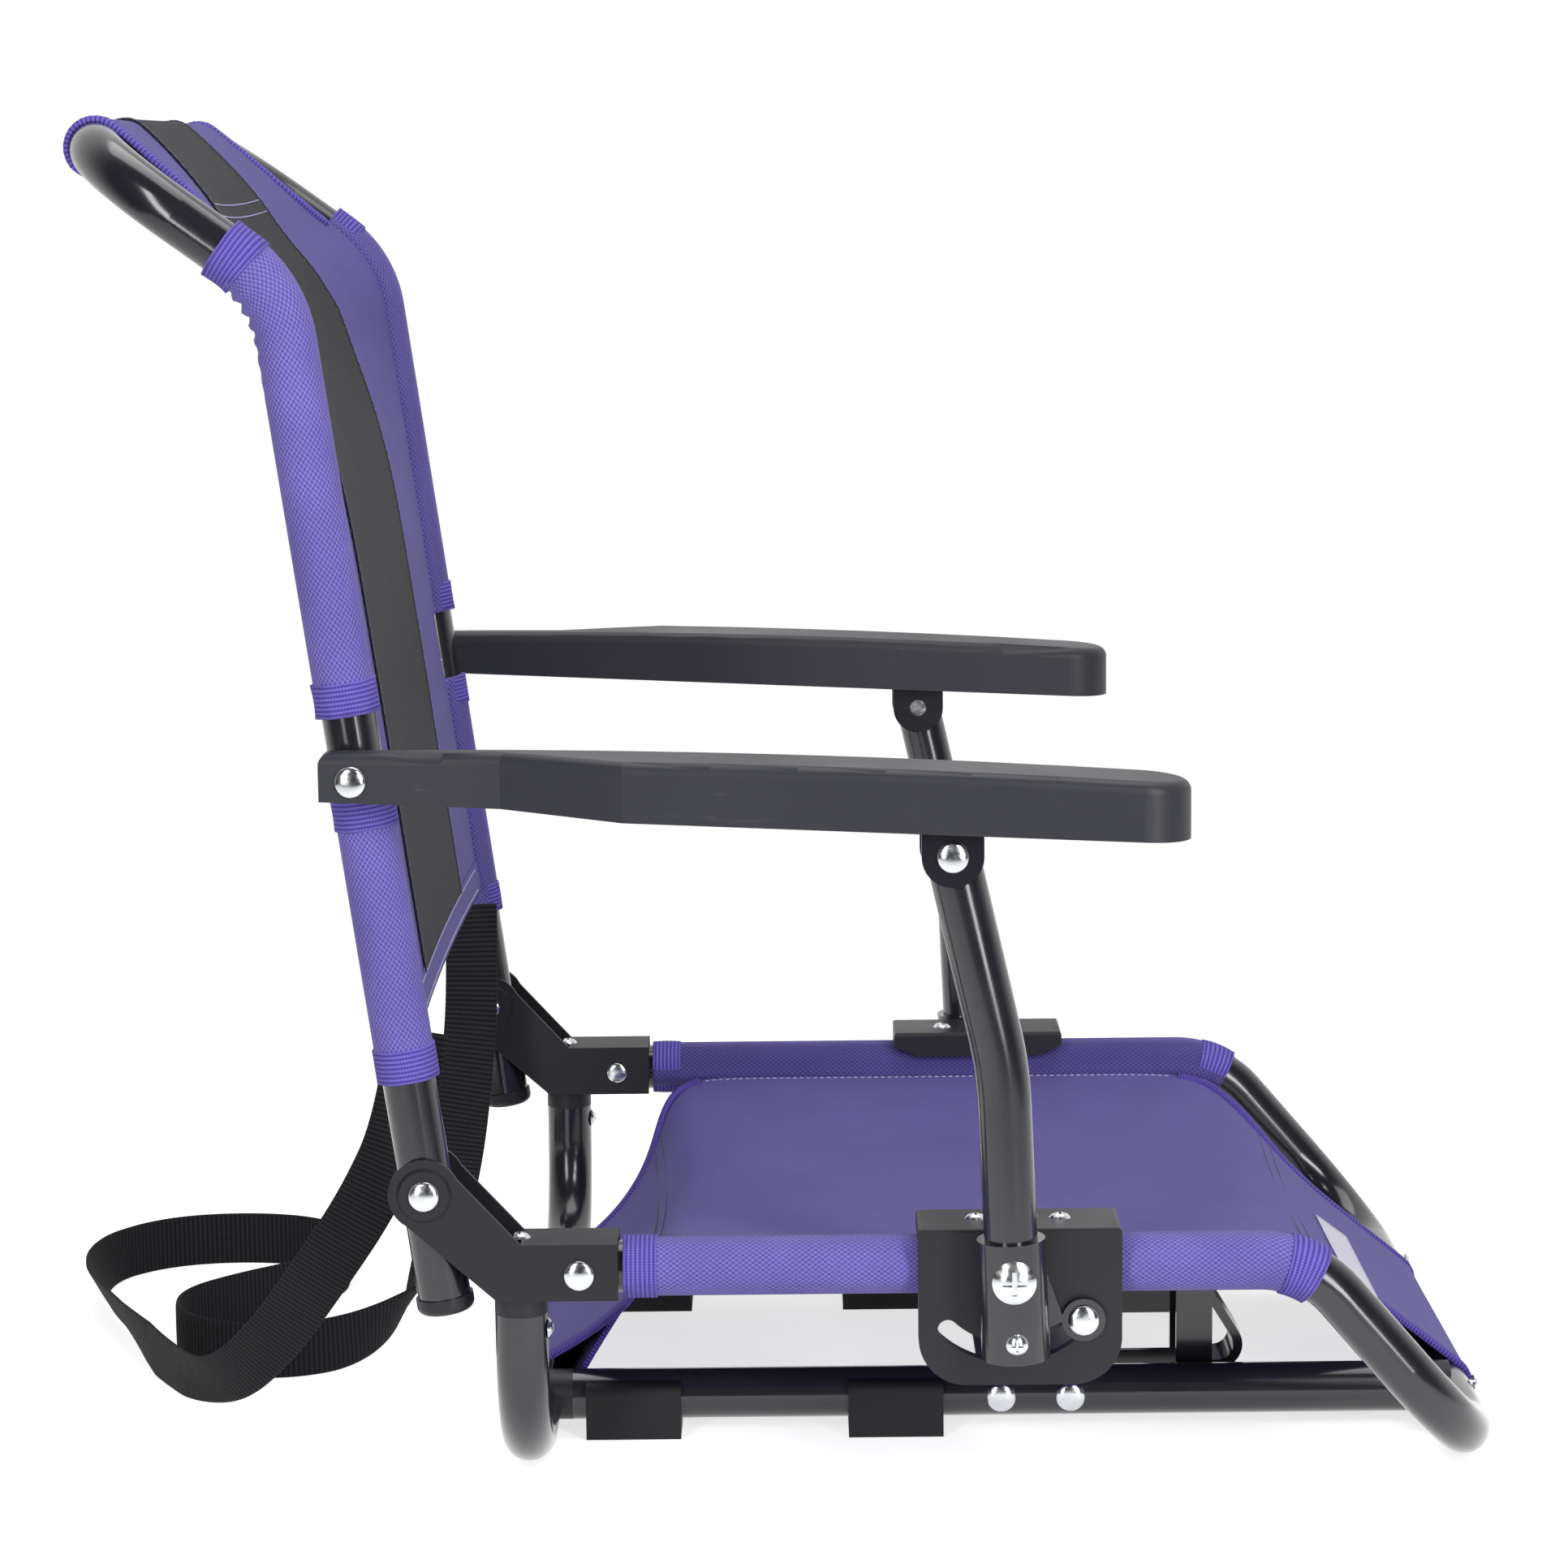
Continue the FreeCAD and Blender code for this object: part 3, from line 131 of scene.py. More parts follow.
# %% Grid meshes
def grid_piece(name, points, uv, ring=False):
    """A mesh from points[row, column], or from many such grids as points[grid, row, column].

    Each quad joins a point, its right neighbour and the two above them. With ring, the last column joins
    the first, and uv has one column more than points."""
    rows, columns = points.shape[-3:-1]
    spans = columns if ring else columns - 1
    row, column = np.meshgrid(np.arange(rows - 1), np.arange(spans), indexing="ij")
    after = (column + 1) % columns
    quads = np.stack([row * columns + column, row * columns + after,
                      (row + 1) * columns + after, (row + 1) * columns + column], axis=-1).reshape(-1, 4)
    grids = points.size // (rows * columns * 3)
    quads = (np.arange(grids)[:, None, None] * rows * columns + quads).reshape(-1, 4)
    corner_uv = np.stack([uv[row, column], uv[row, column + 1],
                          uv[row + 1, column + 1], uv[row + 1, column]], axis=2).reshape(-1, 2)
    mesh = bpy.data.meshes.new(name)
    mesh.from_pydata(points.reshape(-1, 3).tolist(), [], quads.tolist())
    layer = mesh.uv_layers.new(name="cloth")
    layer.data.foreach_set("uv", np.tile(corner_uv, (grids, 1)).astype(np.float32).ravel())
    mesh.polygons.foreach_set("use_smooth", np.ones(len(quads), bool))
    mesh.update()
    piece = bpy.data.objects.new(name, mesh)
    bpy.context.scene.collection.objects.link(piece)
    return piece


def run_length(path):
    """Distance along a path to each of its points."""
    steps = np.linalg.norm(np.diff(path, axis=0), axis=1)
    return np.concatenate([[0.0], np.cumsum(steps)])


def sample(rows, along, places):
    """Each column of the rows read at some places along them, by straight interpolation."""
    return np.stack([np.interp(places, along, column) for column in rows.T], axis=1)


def even_run(path, spacing):
    """The same path with points at an even spacing."""
    along = run_length(path[:, :2] if path.shape[1] > 3 else path)
    count = max(2, int(round(along[-1] / spacing)) + 1)
    return sample(path, along, np.linspace(0, along[-1], count))


def smooth_run(points, count):
    """Uniform cubic B-spline: each point is the mean of four neighbours, weighted by the cubic basis."""
    ends = np.asarray(points, float)
    ends = np.concatenate([2 * ends[:1] - ends[1:2], ends, 2 * ends[-1:] - ends[-2:-1]])
    place = np.linspace(0, len(ends) - 3, count)
    first = np.minimum(place.astype(int), len(ends) - 4)
    f = (place - first)[:, None]
    basis = ((1 - f) ** 3, 3 * f ** 3 - 6 * f ** 2 + 4, -3 * f ** 3 + 3 * f ** 2 + 3 * f + 1, f ** 3)
    return sum(weight * ends[first + k] for k, weight in enumerate(basis)) / 6


def unit(vectors):
    return vectors / np.linalg.norm(vectors, axis=-1, keepdims=True)


def bent_run(start, corner, end, radius, spacing=2 * mm):
    """Two straight runs joined by a tangent arc, as a bent tube's axis in the side view."""
    into = unit(corner - start)
    away = unit(end - corner)
    turn = math.acos(float(np.clip(into @ away, -1, 1)))
    cut = radius * math.tan(turn / 2)
    side = unit(away - into * (into @ away))
    angle = np.linspace(0, turn, 24)[:, None]
    bend = corner - into * cut + radius * (np.sin(angle) * into + (1 - np.cos(angle)) * side)
    return even_run(np.concatenate([[start], bend, [end]]), spacing)


print("grid helpers ready")

# %% Shader helpers
def new_finish(name, colour, roughness, **sockets):
    """A material with one Principled shader, whose plain values sit on its own sockets."""
    material = bpy.data.materials.new(name)
    material.use_nodes = True
    shader = material.node_tree.nodes["Principled BSDF"]
    shader.inputs["Base Color"].default_value = (*colour, 1)
    shader.inputs["Roughness"].default_value = roughness
    for socket, value in sockets.items():
        shader.inputs[socket.replace("_", " ")].default_value = value
    material.diffuse_color = (*colour, 1)
    return material, material.node_tree, shader


def add_node(tree, kind):
    return tree.nodes.new("ShaderNode" + kind)


def math_node(tree, operation, first, second=None):
    node = add_node(tree, "Math")
    node.operation = operation
    for socket, value in zip(node.inputs, (first, second)):
        if isinstance(value, (int, float)):
            socket.default_value = value
        elif value is not None:
            tree.links.new(value, socket)
    return node.outputs[0]


def noise_node(tree, vector, scale, detail=2.0):
    node = add_node(tree, "TexNoise")
    node.inputs["Scale"].default_value = scale
    node.inputs["Detail"].default_value = detail
    tree.links.new(vector, node.inputs["Vector"])
    return node.outputs["Fac"]


def colour_mix(tree, factor, first, second):
    node = add_node(tree, "Mix")
    node.data_type = "RGBA"
    for socket, value in ((node.inputs[6], first), (node.inputs[7], second)):
        if isinstance(value, bpy.types.NodeSocket):
            tree.links.new(value, socket)
        else:
            socket.default_value = (*value, 1)
    tree.links.new(factor, node.inputs[0])
    return node.outputs[2]


def span_node(tree, value, low, high, to_low=0.0, to_high=1.0):
    node = add_node(tree, "MapRange")
    for socket, number in zip(node.inputs[1:5], (low, high, to_low, to_high)):
        socket.default_value = number
    tree.links.new(value, node.inputs[0])
    return node.outputs[0]


def bump_node(tree, shader, height, distance, strength=1.0):
    node = add_node(tree, "Bump")
    node.inputs["Strength"].default_value = strength
    node.inputs["Distance"].default_value = distance
    tree.links.new(height, node.inputs["Height"])
    tree.links.new(node.outputs[0], shader.inputs["Normal"])


def object_place(tree):
    return add_node(tree, "TexCoord").outputs["Object"]


def split(tree, vector):
    """A vector's x, y and z as separate values."""
    node = add_node(tree, "SeparateXYZ")
    tree.links.new(vector, node.inputs[0])
    return node.outputs


def cloth_place(tree):
    """The UV map, and its two lengths in metres as separate values."""
    node = add_node(tree, "UVMap")
    node.uv_map = "cloth"
    return node.outputs[0], *split(tree, node.outputs[0])[:2]


def wave(tree, value, pitch, shift=0.0):
    """Sine of a length, one full wave each pitch."""
    turns = math_node(tree, "MULTIPLY_ADD", value, 2 * math.pi / pitch)
    turns.node.inputs[2].default_value = shift
    return math_node(tree, "SINE", turns)


print("shader helpers ready")

# %% [markdown]
# ## Finishes of the rigid parts
# The tubes wear a satin black powder coat: smooth, but with a fine pebbled skin that breaks up the
# highlights. The arms are a greyer moulded plastic with faint rubbed marks on the outer faces, the grip
# pads a dull rubber, and the rivets and screws bright zinc. The hinge brackets have a duller coat of the
# same black, so their flat tops don't mirror the surround.

# %% Powder coat, plastics, rubber and zinc
def powder_coat():
    material, tree, shader = new_finish("powder_coat", (0.010, 0.010, 0.014), 0.2, Coat_Weight=0.5,
                                        Coat_Roughness=0.12, Specular_IOR_Level=0.5)
    place = object_place(tree)
    fine = noise_node(tree, place, 1400.0, 1.0)
    broad = noise_node(tree, place, 26.0, 3.0)
    tree.links.new(span_node(tree, broad, 0.3, 0.7, 0.16, 0.25), shader.inputs["Roughness"])
    tree.links.new(colour_mix(tree, fine, (0.007, 0.007, 0.011), (0.016, 0.016, 0.022)),
                   shader.inputs["Base Color"])
    bump_node(tree, shader, fine, 0.00012, 0.22)
    return material


def moulded(name, colour, light, roughness, marks):
    """Satin plastic: fine grain, and where marks are wanted, pale streaks along the piece."""
    material, tree, shader = new_finish(name, colour, roughness, Specular_IOR_Level=0.36)
    place = object_place(tree)
    grain = noise_node(tree, place, 900.0, 2.0)
    broad = noise_node(tree, place, 14.0, 4.0)
    stretch = add_node(tree, "Mapping")
    stretch.inputs["Scale"].default_value = (60.0, 60.0, 420.0)
    stretch.inputs["Rotation"].default_value = (0.0, 0.5, 0.0)
    tree.links.new(place, stretch.inputs[0])
    streak = span_node(tree, noise_node(tree, stretch.outputs[0], 1.0, 6.0), 0.62, 0.78)
    patch = span_node(tree, broad, 0.5, 0.72)
    rub = math_node(tree, "MULTIPLY", math_node(tree, "MULTIPLY", streak, patch), marks)
    tree.links.new(colour_mix(tree, rub, colour, light), shader.inputs["Base Color"])
    worn = math_node(tree, "ADD", span_node(tree, broad, 0.3, 0.7, roughness - 0.05, roughness + 0.08), rub)
    tree.links.new(worn, shader.inputs["Roughness"])
    bump_node(tree, shader, grain, 0.00008, 0.3)
    return material


def zinc():
    material, tree, shader = new_finish("zinc", (0.66, 0.68, 0.71), 0.2, Metallic=1.0)
    place = object_place(tree)
    mottled = noise_node(tree, place, 420.0, 3.0)
    tree.links.new(span_node(tree, mottled, 0.3, 0.7, 0.12, 0.3), shader.inputs["Roughness"])
    tree.links.new(colour_mix(tree, mottled, (0.58, 0.60, 0.64), (0.78, 0.79, 0.80)),
                   shader.inputs["Base Color"])
    return material


slot_finish = {
    "black_frame": powder_coat(),
    "moulded_black": moulded("moulded_black", (0.012, 0.012, 0.016), (0.04, 0.04, 0.044), 0.42, 0.3),
    "arm_plastic": moulded("arm_plastic", (0.024, 0.025, 0.032), (0.13, 0.13, 0.14), 0.44, 0.6),
    "grip_rubber": moulded("grip_rubber", (0.004, 0.004, 0.006), (0.014, 0.014, 0.017), 0.6, 0.2),
    "zinc": zinc(),
}
bracket_paint = moulded("bracket_paint", (0.010, 0.010, 0.014), (0.035, 0.035, 0.040), 0.5, 0.3)
for entry in frame["record"]["subparts"]:
    if entry["material_slot"] in slot_finish:
        node = frame["nodes"][entry["node"]]
        node.data.materials.clear()
        dull = entry["node"].endswith("hinge_bracket")
        node.data.materials.append(bracket_paint if dull else slot_finish[entry["material_slot"]])
print("finishes", sorted(slot_finish))

# %% [markdown]
# ## Rivet heads
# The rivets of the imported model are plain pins. Their visible ends are pressed into bright domes, which
# catch the lamps, so each dome is made here: a cap of a ball on the pin's end. A revolved outline or a
# scaled sphere would also do; the grid gives the rim and the cap in one formula.

# %% Domes on the rivets
def finish_piece(piece, body, material, node=None):
    """Gives a new piece its body, slot and material, and hides the model's node that it stands for."""
    piece.data.materials.append(material)
    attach(piece, body)
    if node:
        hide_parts(node)
    return piece


def dome_grid(radius, rise, rings=14, steps=40):
    """Rings from the rim to the pole: a short wall, then radius * cos(t) wide and rise * sin(t) high."""
    turn = np.linspace(0, 2 * np.pi, steps + 1)[:-1]
    t = np.concatenate([[0.0, 0.0], np.linspace(0.08, np.pi / 2, rings)])
    wide = radius * np.cos(t)[:, None]
    high = (0.25 + 0.75 * np.sin(t)) * rise
    high[0] = -0.3 * mm
    return np.stack([wide * np.cos(turn), wide * np.sin(turn), np.tile(high[:, None], (1, steps))], axis=-1)


def node_points(node):
    mesh = frame["nodes"][node].data
    points = np.zeros(len(mesh.vertices) * 3)
    mesh.vertices.foreach_get("co", points)
    return points.reshape(-1, 3)


def inner_end(node):
    """How far the inner ends of a node's pins are from the seat's middle plane."""
    return float(np.abs(node_points(node)[:, 1]).min())


def node_ends(node, gap=6 * mm):
    """Side-view centres of a node's separate pins, split where their x values leave a gap."""
    points = node_points(node)
    x = np.sort(np.unique(points[:, 0].round(5)))
    groups = np.split(x, np.flatnonzero(np.diff(x) > gap) + 1)
    z = (points[:, 2].min() + points[:, 2].max()) / 2
    return [((group[0] + group[-1]) / 2, z) for group in groups]


def rivet_domes(name, node, body, ends, radius=6.4 * mm, rise=3.0 * mm, inner=None):
    """Domes on the outer ends of a node's pins, or on the inner ends, which are at y = inner and -inner."""
    low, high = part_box(node)
    face = {1: high.y, -1: low.y} if inner is None else {1: -inner, -1: inner}
    cap = dome_grid(radius, rise)
    places = [(x, face[side], z, side) for x, z in node_ends(node) for side in ends]
    domes = np.stack([np.stack([x + cap[..., 0] * side, y + cap[..., 2] * side, z + cap[..., 1]], axis=-1)
                      for x, y, z, side in places])
    piece = grid_piece(name, domes, np.zeros((len(cap), cap.shape[1] + 1, 2)), ring=True)
    return finish_piece(piece, body, slot_finish["zinc"])


both = (1, -1)
end_size = (5 * mm, 1.6 * mm)
domes = [rivet_domes(f"{name}_domes", f"{node}_rivets", body, both) for name, node, body in (
    ("back_pivot", "back_pivot", "seat"), ("hinge", "hinge", "seat"), ("runner", "hook_bar", "seat"),
    ("arm_pivot", "arm_pivot", "back"))]
domes += [rivet_domes(f"{name}_ends", node, "seat", both, *end_size, inner_end(node))
          for name, node in (("hinge", "hinge_rivets"), ("back_pivot", "back_pivot_rivets"))]
for side, word in sides:
    domes.append(rivet_domes(f"{word}_clevis_dome", f"{word}_clevis_rivet", f"{word}_arm", (side,)))
    domes.append(rivet_domes(f"{word}_guide_dome", f"{word}_guide_rivet", f"{word}_support", (side,)))
print("rivet domes", len(domes))

# %% [markdown]
# ## Swept sections
# Sleeves, hems, bindings and the strap are all one idea: a closed outline carried along a line. Two
# directions at each point of the line say how the outline stands, and the outline may change as it goes.

# %% Swept rings
def swept_ring(name, line, first, second, a, b, around):
    """A closed outline carried along a line: point = line + a * first + b * second.

    The outline runs from first towards second, and is turned over where that would make the skin face
    inwards. around holds the outline's own lengths, one value more than a and b, for the weave."""
    middle = len(line) // 2
    travel = line[middle + 1] - line[middle - 1]
    points = line[:, None] + a[..., None] * first[:, None] + b[..., None] * second[:, None]
    uv = np.stack(np.broadcast_arrays(around, run_length(line)[:, None]), axis=-1)
    if np.cross(first[middle], second[middle]) @ travel < 0:
        points, uv = points[:, ::-1], uv[:, ::-1]
    return grid_piece(name, points, uv, ring=True)


def with_lips(rows):
    """The rows with the first and last one repeated, so an end can be turned in."""
    return np.concatenate([rows[:1], rows, rows[-1:]])


def lip_scale(count):
    """1 along the piece and 0 on its two repeated end rows."""
    return np.concatenate([[0.0], np.ones(count), [0.0]])[:, None]


def side_normal(path, facing):
    """The side-view path's direction turned a quarter turn, up or to the front by facing."""
    way = unit(np.gradient(path[:, :2], axis=0))
    return np.stack([-way[:, 1], way[:, 0]], axis=1) * facing


print("sweep helpers ready")

# %% [markdown]
# ## Woven slings
# A sling is a flat-cut cloth pulled between two tubes. Across the seat each row of the grid dips by a
# parabola; along it the rows follow a side view that wraps the cross bars. Its side edges become
# sleeves, swept rings with a soft tail where the cloth leaves the tube. Cloth simulation would also do,
# but a stretched sling has so little slack that the drawn form is nearer to the real one.

# %% Cloth panels and sleeves
cloth = 1.2 * mm
cloth_skin = tube + 1.3 * mm


def panel_of(middle, edge, half, facing):
    """A panel as two side-view lines, down its middle and at its side edges, and its half widths."""
    return {"middle": middle, "edge": edge, "half": half, "run": run_length(middle),
            "middle_normal": side_normal(middle, facing), "edge_normal": side_normal(edge, facing)}


def on_panel(panel, rows, y, lift=0.0):
    """Points and normals of a panel: from the middle line to the edge line by (y / half) squared."""
    share = ((y / panel["half"][rows]) ** 2)[..., None]
    flat = panel["middle"][rows] * (1 - share) + panel["edge"][rows] * share
    normal = unit(panel["middle_normal"][rows] * (1 - share) + panel["edge_normal"][rows] * share)
    flat = flat + normal * np.asarray(lift)[..., None]
    points = np.stack([flat[..., 0], np.broadcast_to(y, flat.shape[:-1]), flat[..., 1]], axis=-1)
    return points, np.insert(normal, 1, 0.0, axis=-1)


def cloth_panel(name, panel, low, high, lift=0.0, columns=60, slack=0.0):
    """Rows across the seat from low to high, with slow waves of some slack that die out at the sides."""
    rows = np.arange(len(low))[:, None]
    y = low[:, None] + (high - low)[:, None] * np.linspace(0, 1, columns)[None, :]
    along = panel["run"][:, None]
    waves = np.sin(along / 0.031 + y / 0.07) * np.sin(y / 0.043 + 1.3)
    waves = waves + 0.6 * np.sin(along / 0.017 - y / 0.023)
    points = on_panel(panel, rows, y, lift + slack * waves * (1 - (y / panel["half"][rows]) ** 2))[0]
    uv = np.stack(np.broadcast_arrays(y, along), axis=-1)
    piece = grid_piece(name, points, uv)
    wall = piece.modifiers.new("cloth", "SOLIDIFY")
    wall.thickness = cloth
    wall.offset = 0.0
    return piece


def tube_ring(name, path, side, facing, angle, radius):
    """A ring round a side tube: radius * cos(angle) off the path, radius * sin(angle) to the seat's middle.

    radius has a row for each point of the path and for its two repeated ends."""
    y = np.full(len(path), side * half_track)
    line = with_lips(np.column_stack([path[:, 0], y, path[:, 1]]))
    normal = with_lips(np.insert(side_normal(path, facing), 1, 0.0, axis=1))
    inward = np.tile([0.0, -side, 0.0], (len(line), 1))
    ring, turn = radius[:, :-1], angle[:-1]
    return swept_ring(name, line, normal, inward, ring * np.cos(turn), ring * np.sin(turn),
                      (angle * cloth_skin)[None, :])


def sleeve(name, path, side, facing, seam_angle, tail, gather=None):
    """A cloth ring on a tube: radius = skin + tail * exp(-(angle from the seam / 0.3) squared) + gathers.

    The angle is measured from the path's normal towards the seat's middle."""
    count = len(path)
    angle = np.linspace(0, 2 * np.pi, 61)
    from_seam = np.angle(np.exp(1j * (angle - seam_angle)))
    radius = cloth_skin + tail * np.exp(-(from_seam / 0.3) ** 2)[None, :] * np.ones((count + 2, 1))
    if gather is not None:
        radius = radius + gather(run_length(with_lips(path))[:, None], angle[None, :])
    radius = np.where(lip_scale(count) > 0, radius, tube + 0.1 * mm)
    return tube_ring(name, path, side, facing, angle, radius)


def hem_ring(name, path, start, length, side, facing, frill=0.0):
    """Tape round a sleeve's end: a ring a little proud of the cloth, its edges waved by frill."""
    count = 7
    axis = sample(path, run_length(path), np.linspace(start, start + length, count))
    angle = np.linspace(0, 2 * np.pi, 49)
    edge = np.concatenate([[0.0], np.abs(np.linspace(-1, 1, count)), [0.0]])[:, None] ** 2
    radius = cloth_skin + 0.8 * mm - 0.25 * mm * edge + frill * edge * np.sin(6 * angle + 0.7)[None, :]
    radius = np.where(lip_scale(count) > 0, radius, cloth_skin - 0.5 * mm)
    return tube_ring(name, axis, side, facing, angle, radius)


print("cloth helpers ready")

# %% [markdown]
# ## Edge tape and stitches
# Cut edges of the cloth are bound with tape: a flat ring carried along the edge. Stitches are short
# rods, all in one mesh: one small grid is worked out once and copied to every place along a line by
# adding arrays, so no loop runs over them.

# %% Binding and stitches
def flat_ring(name, line, first, second, width, thick, powers, steps, shift=0.0):
    """A flat outline carried along a line: its half sizes times cosine and sine, each raised to a power."""
    angle = np.linspace(0, 2 * np.pi, steps + 1)[:-1]
    a, b = (np.sign(part) * np.abs(part) ** power * size / 2
            for part, power, size in zip((np.cos(angle), np.sin(angle)), powers, (width, thick)))
    a = a + shift
    keep = lip_scale(len(line))
    return swept_ring(name, with_lips(line), with_lips(first), with_lips(second), a[None, :] * keep,
                      b[None, :] * keep, np.concatenate([a, a[:1]])[None, :])


def edge_tape(name, line, inward, normal, width=9 * mm, thick=3.0 * mm, outside=1.2 * mm):
    """Tape folded over an edge: a rounded flat ring, a little outside the edge and the rest inside it."""
    return flat_ring(name, line, inward, normal, width, thick, (0.4, 0.7), 20, width / 2 - outside)


def stitch_row(name, line, normal, pitch=3.4 * mm, length=2.5 * mm, thick=0.55 * mm, sway=0.0):
    """Short round rods along a line, thinner at their ends; with sway they lean left and right in turn."""
    along = run_length(line)
    count = int(along[-1] / pitch)
    places = (np.arange(count) + 0.5) * pitch
    centre = sample(line, along, places)
    way = unit(sample(np.gradient(line, axis=0), along, places))
    up = unit(sample(normal, along, places))
    side = np.cross(up, way)
    lean = (np.arange(count) % 2 * 2 - 1)[:, None] * sway
    way = unit(way + side * lean)
    side = np.cross(up, way)
    share = np.linspace(-1, 1, 5)
    swell = np.sqrt(np.clip(1 - share ** 2, 0.0, 1.0)) * thick
    angle = np.linspace(0, 2 * np.pi, 7)[:-1]
    step = (share * length / 2)[None, :, None, None] * way[:, None, None]
    wide = (swell[:, None] * np.cos(angle))[None, ..., None] * side[:, None, None]
    high = (swell[:, None] * np.sin(angle) * 0.7)[None, ..., None] * up[:, None, None]
    points = centre[:, None, None] + step + wide + high
    uv = np.zeros((5, 7, 2))
    return grid_piece(name, points, uv, ring=True)


print("stitch helpers ready")

# %% [markdown]
# ## Carry strap
# The strap is flat webbing, sewn under the back's bottom hem at both ends. It hangs down at the far
# side, lies on its edge on the floor in loose curls, and climbs to the near side. A smooth NURBS line
# through given points is its middle line; a thin flat section is carried along it, and a list of
# directions says which way its width stands at each point.

# %% Strap route and band
strap_width = 26 * mm
strap_thick = 1.9 * mm
strap_floor = strap_width / 2 + 0.2 * mm
hem_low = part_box("back_hem")[0]
strap_hem = np.array([hem_low.x + 4.2 * mm, hem_low.z - 0.6 * mm])
origin_x = rear_bar[0]
strap_end = strap_hem[0] - origin_x
on_floor = [
    (-0.090, -0.002), (-0.122, -0.020), (-0.155, -0.012), (-0.177, 0.012), (-0.177, 0.044), (-0.155, 0.070),
    (-0.128, 0.092), (-0.109, 0.120), (-0.109, 0.152), (-0.131, 0.176), (-0.165, 0.184), (-0.200, 0.178),
    (-0.225, 0.155), (-0.232, 0.122), (-0.224, 0.087), (-0.209, 0.052), (-0.195, 0.015), (-0.179, -0.022),
    (-0.160, -0.057),
]
strap_route = np.array([
    (strap_end, 0.140, strap_hem[1]), (-0.0435, 0.137, 0.152), (-0.046, 0.121, 0.112),
    (-0.050, 0.095, 0.076), (-0.056, 0.064, 0.043), (-0.067, 0.030, 0.021),
    *[(x, y, strap_floor) for x, y in on_floor],
    (-0.138, -0.086, 0.020), (-0.114, -0.108, 0.046), (-0.091, -0.126, 0.080), (-0.068, -0.140, 0.115),
    (-0.050, -0.150, 0.153), (strap_end, -0.153, strap_hem[1]),
]) + np.array([origin_x, 0, 0])
upright = (0, 0, 1)
strap_standing = np.array(
    [(1, 0.3, 0)] * 3 + [(1, 0, 0.2), (0.8, 0, 0.6), (0.4, 0, 0.9)] + [upright] * 13
    + [(-0.25, 0, 0.97), (-0.5, 0, 0.87), (-0.5, 0, 0.87), (-0.35, 0, 0.94), (-0.1, 0, 1)]
    + [(-0.2, 0, 1), (-0.6, 0, 0.8), (-0.8, 0, 0.6), (-0.85, 0, 0.5), (-0.9, 0, 0.45), (-0.95, 0, 0.3)]
    + [(-1, 0, 0.1)]
)


def nurbs_line(name, route):
    """Points read from a NURBS spline whose control points are the route."""
    curve = bpy.data.curves.new(name, "CURVE")
    curve.dimensions = "3D"
    curve.resolution_u = 12
    spline = curve.splines.new("NURBS")
    spline.points.add(len(route) - 1)
    spline.points.foreach_set("co", np.column_stack([route, np.ones(len(route))]).ravel())
    spline.order_u = 3
    spline.use_endpoint_u = True
    carrier = bpy.data.objects.new(name, curve)
    bpy.context.scene.collection.objects.link(carrier)
    mesh = bpy.data.meshes.new_from_object(carrier)
    line = np.zeros(len(mesh.vertices) * 3)
    mesh.vertices.foreach_get("co", line)
    bpy.data.objects.remove(carrier)
    bpy.data.curves.remove(curve)
    bpy.data.meshes.remove(mesh)
    return line.reshape(-1, 3)


def flat_band(name, line, standing, width, thick):
    """A flat section along a line, its width along the given direction made square to the line."""
    travel = unit(np.gradient(line, axis=0))
    across = unit(standing - travel * np.sum(standing * travel, axis=1, keepdims=True))
    return flat_ring(name, line, across, np.cross(travel, across), width, thick, (0.25, 0.8), 16)


strap_line = nurbs_line("strap_line", strap_route)
spread = np.linspace(0, len(strap_route) - 1, len(strap_line))
strap_turn = sample(strap_standing, np.arange(len(strap_route)), spread)
strap = flat_band("strap_webbing", strap_line, strap_turn, strap_width, strap_thick)
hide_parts("carry_strap")
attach(strap, "back")
print("strap length", round(float(run_length(strap_line)[-1]), 4))

# %% Webbing finish
def webbing(name, dark, light, pitch):
    """Ribbed tape: ribs across the tape from a sine of its length, broken by the warp threads."""
    material, tree, shader = new_finish(name, dark, 0.85, Sheen_Weight=0.04, Sheen_Roughness=0.5,
                                        Specular_IOR_Level=0.2)
    uv, across, along = cloth_place(tree)
    rib = wave(tree, along, pitch)
    warp = wave(tree, across, pitch * 0.62)
    weave = math_node(tree, "MULTIPLY_ADD", warp, 0.35)
    tree.links.new(rib, weave.node.inputs[2])
    height = span_node(tree, weave, -1.35, 1.35)
    tree.links.new(colour_mix(tree, height, dark, light), shader.inputs["Base Color"])
    bump_node(tree, shader, height, 0.0004, 0.8)
    return material


black_webbing = webbing("black_webbing", (0.001, 0.001, 0.002), (0.022, 0.022, 0.026), 2.4 * mm)
strap.data.materials.append(black_webbing)
print("webbing ready")
